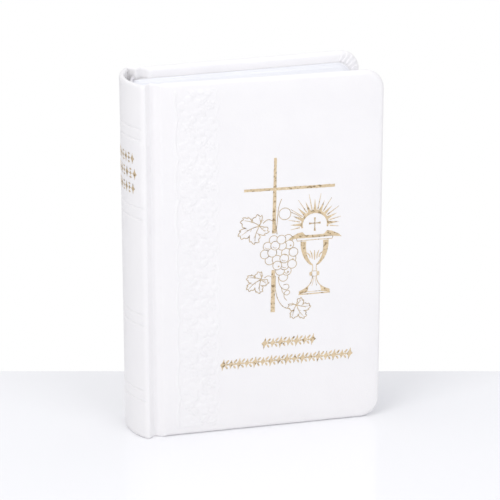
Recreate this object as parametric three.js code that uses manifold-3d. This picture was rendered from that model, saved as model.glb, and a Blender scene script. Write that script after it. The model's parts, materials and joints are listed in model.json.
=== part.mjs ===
// A pocket prayer book in padded white leatherette, standing on its tail edge and slightly fanned.
// Millimetres, +Z up along the spine, +X from the spine to the fore-edge, front cover facing -Y.
import * as THREE from "three";
import { mergeVertices } from "three/addons/utils/BufferGeometryUtils.js";
import Module from "manifold-3d";

const wasm = await Module();
wasm.setup();

// ---------- driving dimensions ----------
const HEIGHT = 130;
const COVER_WIDTH = 86.1; // spine ridge to fore-edge
const SPINE_THICKNESS = 25.6; // over both covers, at the spine
const SPINE_BULGE = 4.4; // how far the rounded spine stands out past its ridges
const FAN_ANGLE = THREE.MathUtils.degToRad(3.83); // between the covers as the book stands
const CORNER_RADIUS = 7;
const SQUARE = 3.7; // overhang of the covers past the leaves
const SECTION_COUNT = 12;

// layers of a cover, from the outside in
const COVER_THICKNESS = 3.2;
const SKIN = 0.6;
const FOAM = 0.6;
const BOARD = 1.4;
const GLUE_GAP = 0.1;
const TURN_IN = 0.4;
const TURN_IN_WIDTH = 12;
const PASTEDOWN = 0.2;
const EDGE_WALL = 0.7;

// joints of the case
const HINGE_X = 3; // centre of the joint groove
const HINGE_DEPTH = 2.15; // of the hinge line under the cover's face, in the leatherette itself
const GROOVE_DEPTH = 1.85;
const SHOULDER_X = 6.9; // where the board begins; the leatherette bends freely up to it

// leaves
const FLYLEAF = 0.25;
const LEAF_GAP = 0.05;
const COVER_LEAF_GAP = 0.15;
const GUTTER_X = 5; // where the leaves turn
const FREE_RADIUS = 6; // from the turning line to where the free leaves begin
const FOLD_REACH = 5.5; // sewn fold past the turning line, in the middle of the block
const FOLD_SETBACK = 1.7; // how much less it reaches at the outer sections

// spine of the block, counted outwards from the section folds
const HOLLOW = 0.85; // from the leatherette and its inlay to the lining
const SPINE_SKIN = 0.8;
const INLAY = 0.8;
const LINING = 0.2;
const MULL = 0.3;
const THREAD = 0.3;
const THREAD_HEIGHTS = [14, 48, 82, 116];
const BAND_HEIGHT = 1.5; // headband and tailband
const BAND_DEPTH = 1.1;
const INLAY_HALF = 10.8; // half the inlay's width
const INLAY_END = 1; // from the case's ends to the inlay's
const LINING_END = 2; // from the block's ends to the lining's
const MULL_END = 4;
const THREAD_HALF_HEIGHT = 0.4;
const THREAD_END = 0.4; // from the outermost fold to the thread's end
const BAND_END = 0.2;

// gold foil
const FOIL = 0.1;
const FOIL_GAP = 0.05;

// ---------- derived dimensions ----------
const HALF_FAN = FAN_ANGLE / 2;
const HALF_SPINE = SPINE_THICKNESS / 2;
const HINGE_Y = HALF_SPINE - HINGE_DEPTH;
const PASTEDOWN_FACE = COVER_THICKNESS + LEAF_GAP + PASTEDOWN;
const FLYLEAF_OUTER = HALF_SPINE - PASTEDOWN_FACE - COVER_LEAF_GAP;
const BLOCK_HALF = FLYLEAF_OUTER - FLYLEAF - LEAF_GAP;
const SECTION_THICKNESS = (2 * BLOCK_HALF) / SECTION_COUNT;
const HALF_COUNT = SECTION_COUNT / 2;
const BLOCK_LOW = SQUARE;
const BLOCK_HIGH = HEIGHT - SQUARE;
const LEAF_CORNER = CORNER_RADIUS - 2;
const SPINE_RADIUS = (HALF_SPINE ** 2 + SPINE_BULGE ** 2) / (2 * SPINE_BULGE);
const ARC_X = SPINE_RADIUS - SPINE_BULGE; // centre of every spine arc
const INLAY_RADIUS = SPINE_RADIUS - SPINE_SKIN - GLUE_GAP;
const LINING_RADIUS = INLAY_RADIUS - INLAY - HOLLOW;
const MULL_RADIUS = LINING_RADIUS - LINING - GLUE_GAP;
const THREAD_RADIUS = MULL_RADIUS - MULL - GLUE_GAP;
const FOLD_RADIUS = THREAD_RADIUS - THREAD - GLUE_GAP;
const LEAF_WIDTH = COVER_WIDTH - SQUARE - foldBack(BLOCK_HALF);
const ARC_STEPS = 7;
const SPINE_STEPS = 22;

const COLOURS = {
  leatherette: [0xf5f3f5, 0.42, 0],
  board: [0xb9b1a4, 0.9, 0],
  foam: [0xf1efe6, 0.95, 0],
  paper: [0xf6f4f6, 0.85, 0],
  endpaper: [0xfaf9fa, 0.8, 0],
  gauze: [0xe9e4d8, 0.95, 0],
  kraft: [0xc9b595, 0.9, 0],
  thread: [0xf4f1ea, 0.8, 0],
  headband: [0xfbfbfb, 0.6, 0],
  gold: [0xd4b981, 0.3, 1],
};

// ---------- shape helpers ----------

// Back of the sewn folds at a distance y from the middle of the block.
function foldBack(y) {
  return ARC_X - Math.sqrt(FOLD_RADIUS ** 2 - y ** 2);
}

// Half-thickness lost or gained where the fanned block widens towards the fore-edge.
function fanned(halfThickness, x) {
  return halfThickness + (x - HINGE_X) * Math.tan(HALF_FAN);
}

function material(name) {
  const [color, roughness, metalness] = COLOURS[name];
  return new THREE.MeshStandardMaterial({ color, roughness, metalness });
}

function piece(name, finish, geometry) {
  const mesh = new THREE.Mesh(geometry, material(finish));
  mesh.name = name;
  return mesh;
}

function closedShape(points) {
  return new THREE.Shape(points.map(([x, y]) => new THREE.Vector2(x, y)));
}

function arcPoints(cx, cy, radius, from, to, steps) {
  const points = [];
  for (let i = 0; i <= steps; i += 1) {
    const turn = THREE.MathUtils.degToRad(from + ((to - from) * i) / steps);
    points.push([cx + radius * Math.cos(turn), cy + radius * Math.sin(turn)]);
  }
  return points;
}

// Outline in x and z, square at the spine side and rounded at the two fore-edge corners.
function leafOutline(x0, x1, z0, z1, radius) {
  return closedShape([
    [x0, z0],
    ...arcPoints(x1 - radius, z0 + radius, radius, -90, 0, ARC_STEPS),
    ...arcPoints(x1 - radius, z1 - radius, radius, 0, 90, ARC_STEPS),
    [x0, z1],
  ]);
}

// Plate with its outline in x and z, filling y0 to y1.
function plate(outline, y0, y1) {
  const geometry = new THREE.ExtrudeGeometry(outline, { depth: y1 - y0, bevelEnabled: false });
  geometry.rotateX(Math.PI / 2);
  geometry.translate(0, y1, 0);
  return geometry;
}

// Column with its outline in x and y, filling z0 to z1.
function column(points, z0, z1) {
  const options = { depth: z1 - z0, bevelEnabled: false };
  const geometry = new THREE.ExtrudeGeometry(closedShape(points), options);
  geometry.translate(0, 0, z0);
  return geometry;
}

function toSolid(geometry) {
  const bare = geometry.clone();
  bare.deleteAttribute("normal");
  bare.deleteAttribute("uv");
  const merged = mergeVertices(bare, 1e-4);
  return new wasm.Manifold(
    new wasm.Mesh({
      numProp: 3,
      vertProperties: new Float32Array(merged.attributes.position.array),
      triVerts: new Uint32Array(merged.index.array),
    }),
  );
}

function toGeometry(solid) {
  const mesh = solid.getMesh();
  const geometry = new THREE.BufferGeometry();
  geometry.setAttribute("position", new THREE.BufferAttribute(mesh.vertProperties, 3));
  geometry.setIndex(new THREE.BufferAttribute(mesh.triVerts, 1));
  geometry.computeVertexNormals();
  return geometry;
}

// Points on a spine arc of the given radius, from -halfWidth to +halfWidth across the spine.
function spineArc(radius, halfWidth) {
  const reach = Math.asin(halfWidth / radius);
  const points = [];
  for (let i = 0; i <= SPINE_STEPS; i += 1) {
    const turn = -reach + (2 * reach * i) / SPINE_STEPS;
    points.push([ARC_X - radius * Math.cos(turn), radius * Math.sin(turn)]);
  }
  return points;
}

// Curved strip lying between two spine arcs.
function spineStrip(outerRadius, thickness, halfWidth, z0, z1) {
  const outer = spineArc(outerRadius, halfWidth);
  const inner = spineArc(outerRadius - thickness, halfWidth);
  return column([...outer, ...inner.reverse()], z0, z1);
}

// ---------- the case: spine ----------

// Half of the spine leatherette's section past its arc, from the ridge down into the joint groove.
const RIDGE = [
  [0.2, 12.62],
  [0.85, HALF_SPINE],
  [1.55, 12.58],
  [2.2, 11.95],
  [2.8, 11.15],
  [3.3, HALF_SPINE - GROOVE_DEPTH],
  [4.3, HALF_SPINE - GROOVE_DEPTH + 0.15],
];
const RIDGE_INNER = [
  [4.3, 10.45],
  [3, 10.3],
  [2.3, 10.65],
  [1.65, 11.5],
  [1.1, 11.92],
  [0.55, 11.9],
];
const ARC_END = 12.1;

function spineLeatherette() {
  const mirrored = (points) => points.map(([x, y]) => [x, -y]);
  const outer = spineArc(SPINE_RADIUS, ARC_END);
  const inner = spineArc(SPINE_RADIUS - SPINE_SKIN, ARC_END - 0.5);
  const points = [
    ...mirrored(RIDGE).reverse(),
    ...outer,
    ...RIDGE,
    ...RIDGE_INNER,
    ...inner.reverse(),
    ...mirrored(RIDGE_INNER).reverse(),
  ];
  return piece("spine_leatherette", "leatherette", column(points, 0, HEIGHT));
}

function spinePieces() {
  const group = new THREE.Group();
  group.add(spineLeatherette());
  const inlay = spineStrip(INLAY_RADIUS, INLAY, INLAY_HALF, INLAY_END, HEIGHT - INLAY_END);
  group.add(piece("spine_inlay", "board", inlay));
  const behindBlock = (radius, thickness, end) =>
    spineStrip(radius, thickness, BLOCK_HALF, BLOCK_LOW + end, BLOCK_HIGH - end);
  group.add(piece("spine_lining", "kraft", behindBlock(LINING_RADIUS, LINING, LINING_END)));
  group.add(piece("spine_mull", "gauze", behindBlock(MULL_RADIUS, MULL, MULL_END)));
  THREAD_HEIGHTS.forEach((z, i) => {
    const low = z - THREAD_HALF_HEIGHT;
    const high = z + THREAD_HALF_HEIGHT;
    const thread = spineStrip(THREAD_RADIUS, THREAD, BLOCK_HALF - THREAD_END, low, high);
    group.add(piece(`sewing_thread_${i + 1}`, "thread", thread));
  });
  for (const [name, z] of [
    ["headband", BLOCK_HIGH + LEAF_GAP],
    ["tailband", BLOCK_LOW - LEAF_GAP - BAND_HEIGHT],
  ]) {
    const band = spineStrip(FOLD_RADIUS, BAND_DEPTH, BLOCK_HALF - BAND_END, z, z + BAND_HEIGHT);
    group.add(piece(name, "headband", band));
  }
  return group;
}

// ---------- the case: covers, drawn from their hinge line ----------

// Plate of a cover: side is -1 for the front and 1 for the back, depths count inwards from its face.
function coverPlate(outline, side, from, to) {
  const near = from - HINGE_DEPTH;
  const far = to - HINGE_DEPTH;
  return side < 0 ? plate(outline, near, far) : plate(outline, -far, -near);
}

function coverOutline(inset, x0) {
  return leafOutline(
    x0 - HINGE_X,
    COVER_WIDTH - HINGE_X - inset,
    inset,
    HEIGHT - inset,
    Math.max(CORNER_RADIUS - inset, 2),
  );
}

// Leatherette of one cover: over the board's face and round its edges, open inside where the
// turn-ins end.
function coverLeatherette(side) {
  const body = toSolid(coverPlate(coverOutline(0, SHOULDER_X), side, 0, COVER_THICKNESS));
  const hollowOutline = coverOutline(EDGE_WALL, SHOULDER_X + SKIN);
  const hollow = toSolid(coverPlate(hollowOutline, side, SKIN, COVER_THICKNESS - TURN_IN));
  const windowOutline = coverOutline(TURN_IN_WIDTH, TURN_IN_WIDTH);
  const window = toSolid(coverPlate(windowOutline, side, COVER_THICKNESS - 1, COVER_THICKNESS + 1));
  return toGeometry(body.subtract(hollow).subtract(window));
}

function cover(side, label) {
  const group = new THREE.Group();
  group.position.set(HINGE_X, side * HINGE_Y, 0);
  group.rotation.z = side * HALF_FAN;
  const inside = coverOutline(EDGE_WALL + GLUE_GAP, SHOULDER_X + SKIN + GLUE_GAP);
  const foamFrom = SKIN + GLUE_GAP;
  const boardFrom = foamFrom + FOAM + GLUE_GAP;
  const boardTo = boardFrom + BOARD - GLUE_GAP;
  group.add(piece(`${label}_leatherette`, "leatherette", coverLeatherette(side)));
  group.add(piece(`${label}_padding`, "foam", coverPlate(inside, side, foamFrom, foamFrom + FOAM)));
  group.add(piece(`${label}_board`, "board", coverPlate(inside, side, boardFrom, boardTo)));
  const paper = leafOutline(
    SHOULDER_X + GLUE_GAP - HINGE_X,
    COVER_WIDTH - SQUARE - HINGE_X,
    SQUARE,
    HEIGHT - SQUARE,
    LEAF_CORNER,
  );
  const pasted = coverPlate(paper, side, COVER_THICKNESS + LEAF_GAP, PASTEDOWN_FACE);
  group.add(piece(`${label}_pastedown`, "endpaper", pasted));
  return group;
}

// ---------- the page block ----------

// Boundary between two sections: index 0 is the front of the block, SECTION_COUNT its back.
function boundary(index, x) {
  return ((index - HALF_COUNT) / HALF_COUNT) * fanned(BLOCK_HALF, x);
}

// Leaves between two sloping planes: a unit plate whose y becomes a place between the planes.
function wedge(outline, low, high) {
  const geometry = plate(outline, 0, 1);
  const position = geometry.attributes.position;
  for (let i = 0; i < position.count; i += 1) {
    const x = position.getX(i);
    position.setY(i, position.getY(i) < 0.5 ? low(x) : high(x));
  }
  geometry.computeVertexNormals();
  return geometry;
}

function sectionFold(index) {
  const low = (x) => boundary(index, x) + LEAF_GAP / 2;
  const high = (x) => boundary(index + 1, x) - LEAF_GAP / 2;
  const middle = (index + 0.5 - HALF_COUNT) * SECTION_THICKNESS;
  const outer = Math.max(Math.abs(index - HALF_COUNT), Math.abs(index + 1 - HALF_COUNT));
  const back = foldBack(Math.abs(middle));
  const front = GUTTER_X + FOLD_REACH - FOLD_SETBACK * (outer / HALF_COUNT) ** 2;
  const shoulder = back + 0.9;
  const points = [
    [shoulder, low(shoulder)],
    [front, low(front)],
    [front, high(front)],
    [shoulder, high(shoulder)],
    [back + 0.5, high(back) * 0.35 + middle * 0.65 + 0.3],
    [back + 0.42, middle],
    [back + 0.5, low(back) * 0.35 + middle * 0.65 - 0.3],
  ];
  return column(points, BLOCK_LOW, BLOCK_HIGH);
}

function sectionLeaves(index) {
  const middle = (index + 0.5 - HALF_COUNT) * SECTION_THICKNESS;
  const foreEdge = foldBack(Math.abs(middle)) + LEAF_WIDTH;
  const outline = leafOutline(GUTTER_X + FREE_RADIUS, foreEdge, BLOCK_LOW, BLOCK_HIGH, LEAF_CORNER);
  const low = (x) => boundary(index, x) + LEAF_GAP / 2;
  const high = (x) => boundary(index + 1, x) - LEAF_GAP / 2;
  return wedge(outline, low, high);
}

function flyleaf(side) {
  const start = GUTTER_X + FREE_RADIUS - 1;
  const outline = leafOutline(start, COVER_WIDTH - SQUARE, BLOCK_LOW, BLOCK_HIGH, LEAF_CORNER);
  const near = (x) => side * fanned(FLYLEAF_OUTER - FLYLEAF, x);
  const far = (x) => side * fanned(FLYLEAF_OUTER, x);
  return side < 0 ? wedge(outline, far, near) : wedge(outline, near, far);
}

function pageBlock() {
  const group = new THREE.Group();
  for (let i = 0; i < SECTION_COUNT; i += 1) {
    const number = String(i + 1).padStart(2, "0");
    group.add(piece(`section_${number}_fold`, "paper", sectionFold(i)));
    group.add(piece(`section_${number}_leaves`, "paper", sectionLeaves(i)));
  }
  group.add(piece("front_flyleaf", "endpaper", flyleaf(-1)));
  group.add(piece("back_flyleaf", "endpaper", flyleaf(1)));
  return group;
}

// ---------- gold foil, drawn in x from the ridge and z from the tail ----------

// Strip of even width along a list of points, with square ends.
function ribbon(points, width) {
  const left = [];
  const right = [];
  points.forEach(([x, z], i) => {
    const [ax, az] = points[Math.max(i - 1, 0)];
    const [bx, bz] = points[Math.min(i + 1, points.length - 1)];
    const length = Math.hypot(bx - ax, bz - az);
    const nx = (-(bz - az) / length) * (width / 2);
    const nz = ((bx - ax) / length) * (width / 2);
    left.push([x + nx, z + nz]);
    right.push([x - nx, z - nz]);
  });
  return closedShape([...right, ...left.reverse()]);
}

// Closed outline whose radius changes with its angle.
function lobed(cx, cz, steps, radiusAt) {
  const points = [];
  for (let i = 0; i < steps; i += 1) {
    const turn = (2 * Math.PI * i) / steps;
    const radius = radiusAt(turn);
    points.push([cx + radius * Math.cos(turn), cz + radius * Math.sin(turn)]);
  }
  return closedShape(points);
}

const CROSS = {
  x: 46.5,
  top: 101,
  bottom: 44,
  bar: 89.6,
  left: 35.6,
  right: 68.4,
  upperEnd: 73.4, // the grapes hide the post from here
  footTop: 61.9, // down to here
};

function crossShape() {
  const half = 0.65;
  const arm = 0.5;
  return closedShape([
    [CROSS.x - half, CROSS.upperEnd],
    [CROSS.x + half, CROSS.upperEnd],
    [CROSS.x + half, CROSS.bar - arm],
    [CROSS.right, CROSS.bar - arm],
    [CROSS.right, CROSS.bar + arm],
    [CROSS.x + half, CROSS.bar + arm],
    [CROSS.x + half, CROSS.top],
    [CROSS.x - half, CROSS.top],
    [CROSS.x - half, CROSS.bar + arm],
    [CROSS.left, CROSS.bar + arm],
    [CROSS.left, CROSS.bar - arm],
    [CROSS.x - half, CROSS.bar - arm],
  ]);
}

function crossFootShape() {
  const half = 0.75;
  return closedShape([
    [CROSS.x - 0.2 - half, CROSS.bottom],
    [CROSS.x - 0.2 + half, CROSS.bottom],
    [CROSS.x - 0.1 + half, CROSS.footTop],
    [CROSS.x - 0.1 - half, CROSS.footTop],
  ]);
}

const HOST = { x: 61.2, z: 75.6, inner: 4.3, outer: 5.1 };

// Upper ring of the host with long and short rays in turn.
function hostShape() {
  const rays = 15;
  const from = -8;
  const to = 188;
  const outline = [];
  for (let i = 0; i < rays; i += 1) {
    const middle = from + ((to - from) * (i + 0.5)) / rays;
    const lift = Math.max(0, Math.sin(THREE.MathUtils.degToRad(middle)));
    const tip = (i % 2 === 0 ? 8.2 : 9.4) + 2.2 * lift;
    const half = i % 2 === 0 ? 3.6 : 1.6;
    for (const [turn, radius] of [
      [middle - 5.5, HOST.outer],
      [middle - half, HOST.outer],
      [middle, tip],
      [middle + half, HOST.outer],
      [middle + 5.5, HOST.outer],
    ]) {
      outline.push(...arcPoints(HOST.x, HOST.z, radius, turn, turn, 1).slice(0, 1));
    }
  }
  const inner = arcPoints(HOST.x, HOST.z, HOST.inner, to, from, 16);
  return closedShape([...outline, ...inner]);
}

function hostCrossShape() {
  const reach = 2.4;
  const half = 0.3;
  return closedShape([
    [-half, -reach], [half, -reach], [half, -half], [reach, -half], [reach, half], [half, half],
    [half, reach], [-half, reach], [-half, half], [-reach, half], [-reach, -half], [-half, -half],
  ].map(([x, z]) => [HOST.x + x, HOST.z + 0.4 + z]));
}

// Chalice: half profile from the rim down to the foot, mirrored about its axis.
function chaliceShape() {
  const half = [
    [6.4, 70.9], [6.2, 70], [5.2, 69.7], [5.0, 66.8], [4.1, 63.8], [2.2, 61.2], [0.9, 60.2],
    [0.8, 58.3], [1.6, 57.8], [1.6, 56.7], [0.8, 56.2], [1.1, 54.4], [2.4, 52.6], [5.7, 51.2],
    [5.7, 50.2],
  ];
  const right = half.map(([x, z]) => [HOST.x + x, z]);
  const left = half.map(([x, z]) => [HOST.x - x, z]).reverse();
  return closedShape([...left, ...right].reverse());
}

// Bunch of grapes: rows of round grapes that narrow towards the tip, joined into one piece.
const GRAPE_RADIUS = 1.9;
const GRAPE_PITCH = 3.2;
const GRAPE_ROWS = [
  { z: 70.4, x: 46, count: 3 },
  { z: 67.5, x: 43.9, count: 4 },
  { z: 64.6, x: 45.4, count: 3 },
  { z: 61.6, x: 49.3, count: 2 },
  { z: 58.8, x: 50.7, count: 1 },
];

function grapesGeometry() {
  let bunch = null;
  for (const row of GRAPE_ROWS) {
    for (let i = 0; i < row.count; i += 1) {
      const ring = arcPoints(row.x + i * GRAPE_PITCH, row.z, GRAPE_RADIUS, 0, 320, 8);
      const grape = toSolid(coverFoilPlate(closedShape(ring)));
      bunch = bunch ? bunch.add(grape) : grape;
    }
  }
  return toGeometry(bunch);
}

function leafShape(cx, cz, radius, tilt) {
  const start = THREE.MathUtils.degToRad(tilt);
  return lobed(cx, cz, 50, (turn) => {
    const a = turn - start;
    return radius * (0.78 + 0.16 * Math.cos(5 * a) + 0.06 * Math.cos(15 * a));
  });
}

const TENDRIL_WIDTH = 0.45;

function upperTendrilShape() {
  const curl = arcPoints(50.4, 80.3, 2.2, 200, -40, 12);
  return ribbon([[48.1, 74.2], [48, 76.6], [48.1, 78.6], ...curl.slice(1)], TENDRIL_WIDTH);
}

function lowerTendrilShape() {
  const stem = [[48.1, 55.2], [48.2, 52.4], [48.6, 49.6], [49.4, 47.2], [50.6, 45.4]];
  return ribbon(stem, TENDRIL_WIDTH);
}

// Ornament row: lozenges strung on a fine line.
function lozengeRow(cx, cz, width, count, tall) {
  const pitch = width / count;
  const line = 0.25;
  const upper = [];
  for (let i = 0; i < count; i += 1) {
    const x = cx - width / 2 + pitch * (i + 0.5);
    const height = i % 2 === 0 ? tall : tall * 0.55;
    upper.push([x - pitch * 0.42, line], [x, height], [x + pitch * 0.42, line]);
  }
  const top = upper.map(([x, z]) => [x, cz + z]);
  const bottom = upper.map(([x, z]) => [x, cz - z]);
  return closedShape([...bottom, ...top.reverse()]);
}

const COVER_FOIL = {
  foil_cross: crossShape(),
  foil_cross_foot: crossFootShape(),
  foil_host_rays: hostShape(),
  foil_host_cross: hostCrossShape(),
  foil_chalice: chaliceShape(),
  foil_leaf_upper: leafShape(38.9, 75.6, 5.6, 100),
  foil_leaf_lower_left: leafShape(40.2, 55.6, 4.2, 130),
  foil_leaf_lower_right: leafShape(55.6, 44.4, 4.2, -60),
  foil_tendril_upper: upperTendrilShape(),
  foil_tendril_lower: lowerTendrilShape(),
  foil_ornament_short: lozengeRow(51.9, 32.4, 20.6, 7, 2.1),
  foil_ornament_long: lozengeRow(51.2, 25.6, 49.6, 17, 2.1),
};

function coverFoilPlate(shape) {
  const geometry = coverPlate(shape, -1, -FOIL_GAP - FOIL, -FOIL_GAP);
  geometry.translate(-HINGE_X, 0, 0);
  return geometry;
}

function coverFoil() {
  const stamped = Object.entries(COVER_FOIL).map(([name, shape]) =>
    piece(name, "gold", coverFoilPlate(shape)),
  );
  return [...stamped, piece("foil_grapes", "gold", grapesGeometry())];
}

// Three rows of lozenges on one stem, stamped round the spine.
function spineFoil() {
  const rows = [92.4, 97.8, 103.2];
  const lozenges = [
    [0.4, -2.2], [2.6, -0.5], [4.4, -1.6], [6.4, -0.4], [8.2, -1.6], [10.2, 0],
    [8.2, 1.6], [6.4, 0.4], [4.4, 1.6], [2.6, 0.5], [0.4, 2.2],
  ];
  const right = rows.flatMap((z) => lozenges.map(([y, dz]) => [y, z + dz]));
  const left = right.map(([y, z]) => [-y, z]).reverse();
  const options = { depth: 10, bevelEnabled: false };
  const stamp = new THREE.ExtrudeGeometry(closedShape([...right, ...left]), options);
  stamp.rotateX(Math.PI / 2);
  stamp.rotateZ(Math.PI / 2);
  stamp.translate(-8, 0, 0);
  const skinRadius = SPINE_RADIUS + FOIL_GAP + FOIL;
  const skin = spineStrip(skinRadius, FOIL, 10.8, rows[0] - 4, rows[2] + 4);
  const foil = toSolid(stamp).intersect(toSolid(skin));
  return piece("foil_spine_ornament", "gold", toGeometry(foil));
}

// ---------- the book ----------

const book = new THREE.Group();
book.add(spinePieces());
book.add(pageBlock());
const frontCover = cover(-1, "front");
frontCover.add(...coverFoil());
book.add(frontCover);
book.add(cover(1, "back"));
book.add(spineFoil());

// The origin is the middle of the footprint.
book.updateMatrixWorld(true);
const footprint = new THREE.Box3().setFromObject(book, true).getCenter(new THREE.Vector3());
book.position.set(-footprint.x, -footprint.y, 0);

export default book;
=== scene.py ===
"""A small hardback prayer book in padded white leatherette with gold stamping."""
import json
import logging
import math
import random
from dataclasses import dataclass, field
from enum import Enum
from typing import Callable, Sequence

import bpy
import numpy as np
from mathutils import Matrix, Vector
from mathutils.geometry import tessellate_polygon


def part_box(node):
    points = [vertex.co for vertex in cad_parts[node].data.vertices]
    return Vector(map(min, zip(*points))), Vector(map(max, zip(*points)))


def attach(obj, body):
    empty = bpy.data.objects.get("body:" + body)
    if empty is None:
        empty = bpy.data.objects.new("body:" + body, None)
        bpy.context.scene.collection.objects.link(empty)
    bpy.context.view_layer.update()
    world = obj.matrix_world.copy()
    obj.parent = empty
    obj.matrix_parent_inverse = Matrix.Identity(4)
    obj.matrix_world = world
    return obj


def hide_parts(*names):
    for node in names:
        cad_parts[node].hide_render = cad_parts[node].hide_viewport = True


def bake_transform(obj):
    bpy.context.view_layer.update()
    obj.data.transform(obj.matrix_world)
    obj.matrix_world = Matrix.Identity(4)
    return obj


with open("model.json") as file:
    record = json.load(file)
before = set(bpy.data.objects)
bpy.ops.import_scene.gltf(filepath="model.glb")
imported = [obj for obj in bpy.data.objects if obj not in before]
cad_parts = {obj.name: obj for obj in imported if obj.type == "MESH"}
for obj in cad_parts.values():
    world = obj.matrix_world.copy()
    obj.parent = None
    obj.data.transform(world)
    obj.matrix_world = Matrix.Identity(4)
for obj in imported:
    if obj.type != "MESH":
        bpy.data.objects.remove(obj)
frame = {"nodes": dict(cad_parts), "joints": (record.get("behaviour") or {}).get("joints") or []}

MM = 0.001
UV_MM = 10.0  # millimetres of surface to one unit of UV
WAVE_TURNS = 6.3  # a wave texture of scale 1 has about this many waves in one unit
LOG = logging.getLogger("prayer_book")


class Side(Enum):
    """Which cover: the sign of its y."""

    FRONT = -1
    BACK = 1

    @property
    def word(self) -> str:
        """The side's name as the frame spells it."""
        return self.name.lower()


class End(Enum):
    """Which end of the book: the sign of its z."""

    TAIL = -1
    HEAD = 1


def smooth(value: np.ndarray, low: float, high: float) -> np.ndarray:
    """Rises smoothly from 0 at low to 1 at high.

    Args:
        value: where to read the step.
        low: where it starts.
        high: where it ends.

    Returns:
        The step's height at each value.
    """
    t = np.clip((np.asarray(value, float) - low) / (high - low), 0.0, 1.0)
    return t * t * (3.0 - 2.0 * t)


@dataclass(frozen=True)
class Plan:
    """The closed book's sizes in millimetres.

    x runs from the spine's ridge to the fore-edge, z up, and the front cover is at -y.
    """

    height: float = 130.0
    width: float = 86.1
    half: float = 12.8  # half the thickness at the ridges
    fan: float = math.radians(1.915)  # each cover leans out towards the fore-edge
    corner: float = 7.0
    square: float = 3.7  # the covers stand this far past the leaves
    hinge_x: float = 3.0
    hinge_depth: float = 2.15
    crest_x: float = 0.85
    groove_x: float = 3.35
    groove_depth: float = 1.85
    shoulder_x: float = 7.1
    cover: float = 3.2  # thickness over the board
    joint: float = 1.1  # thickness of the doubled leatherette in the joint
    spine_radius: float = 20.818
    spine_centre: float = 16.418
    fold_radius: float = 17.168
    block_half: float = 8.9
    leaf_right: float = 82.4
    leaf_corner: float = 5.0
    gutter: float = 5.0  # where the leaves turn
    turning_half: float = 8.967  # y of the outermost sections' turning lines
    sections: int = 12

    @property
    def offset(self) -> float:
        """How far the ridge lies from the frame's middle, from the front hinge's place."""
        hinge = next(j for j in frame["joints"] if j["name"] == "front_cover_hinge")
        return hinge["pos_m"][0] / MM - self.hinge_x

    def world(self, points: np.ndarray) -> np.ndarray:
        """Book millimetres to the frame's metres.

        Args:
            points: places in book millimetres.

        Returns:
            The same places in the frame's metres.
        """
        moved = np.array(points, float)
        moved[..., 0] += self.offset
        return moved * MM

    def spot(self, x: float, y: float, z: float) -> tuple[float, float, float]:
        """One point of the frame, in metres, from book millimetres."""
        return tuple(float(v) for v in self.world(np.array([x, y, z])))

    def on_cover(self, side: Side, x: np.ndarray, depth: np.ndarray, z: np.ndarray) -> np.ndarray:
        """Points of a cover.

        Args:
            side: which cover.
            x: how far along it from the ridge.
            depth: how far below its outer face.
            z: height.

        Returns:
            The points in book millimetres.
        """
        s = side.value
        along = np.asarray(x, float) - self.hinge_x
        out = s * (self.hinge_depth - np.asarray(depth, float))
        turn = s * self.fan
        parts = np.broadcast_arrays(
            self.hinge_x + along * math.cos(turn) - out * math.sin(turn),
            s * (self.half - self.hinge_depth) + along * math.sin(turn) + out * math.cos(turn),
            np.asarray(z, float),
        )
        return np.stack(parts, axis=-1)

    def groove(self, x: np.ndarray) -> np.ndarray:
        """Depth of the pressed joint below the cover's plane at x.

        Args:
            x: distances from the spine, in millimetres.

        Returns:
            The depth at each.
        """
        x = np.asarray(x, float)
        reach = np.where(x < self.groove_x, self.groove_x - self.crest_x, self.shoulder_x - self.groove_x)
        t = np.clip((x - self.groove_x) / reach, -1.0, 1.0)
        return self.groove_depth * 0.5 * (1.0 + np.cos(math.pi * t))

    def fanned(self, half: float, x: np.ndarray) -> np.ndarray:
        """How far out a leaf at half lies at x, in the block that opens a little to the fore-edge."""
        return half + (np.asarray(x, float) - self.hinge_x) * math.tan(self.fan) * half / self.block_half

    def fold_back(self, y: float) -> float:
        """x of the folds' backs at y."""
        return self.spine_centre - math.sqrt(self.fold_radius**2 - y * y)

    @property
    def leaf_width(self) -> float:
        """A leaf from its fold to its fore-edge."""
        return self.leaf_right - self.fold_back(self.block_half)


PLAN = Plan()


# ---------------------------------------------------------------- meshes


@dataclass
class Solid:
    """Points in book millimetres, their faces and UVs, and a finish number for each face."""

    points: np.ndarray
    faces: list
    uv: np.ndarray
    finish: list = field(default_factory=list)

    @staticmethod
    def joined(parts: Sequence["Solid"]) -> "Solid":
        """Several solids as one.

        Args:
            parts: the solids.

        Returns:
            One solid that holds all their faces.
        """
        points, faces, uv, finish = [], [], [], []
        count = 0
        for part in parts:
            points.append(part.points)
            uv.append(part.uv)
            faces += [[v + count for v in face] for face in part.faces]
            finish += part.finish or [0] * len(part.faces)
            count += len(part.points)
        return Solid(np.concatenate(points), faces, np.concatenate(uv), finish)


def grid_quads(rows: int, columns: int, flip: bool = False) -> np.ndarray:
    """Quads of a grid whose points lie row by row.

    Args:
        rows: points down it.
        columns: points across it.
        flip: True to turn every face over.

    Returns:
        One row of four point numbers for each quad.
    """
    index = np.arange(rows * columns).reshape(rows, columns)
    corners = [index[:-1, :-1], index[:-1, 1:], index[1:, 1:], index[1:, :-1]]
    quads = np.stack(corners, axis=-1).reshape(-1, 4)
    return quads[:, ::-1] if flip else quads


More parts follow.
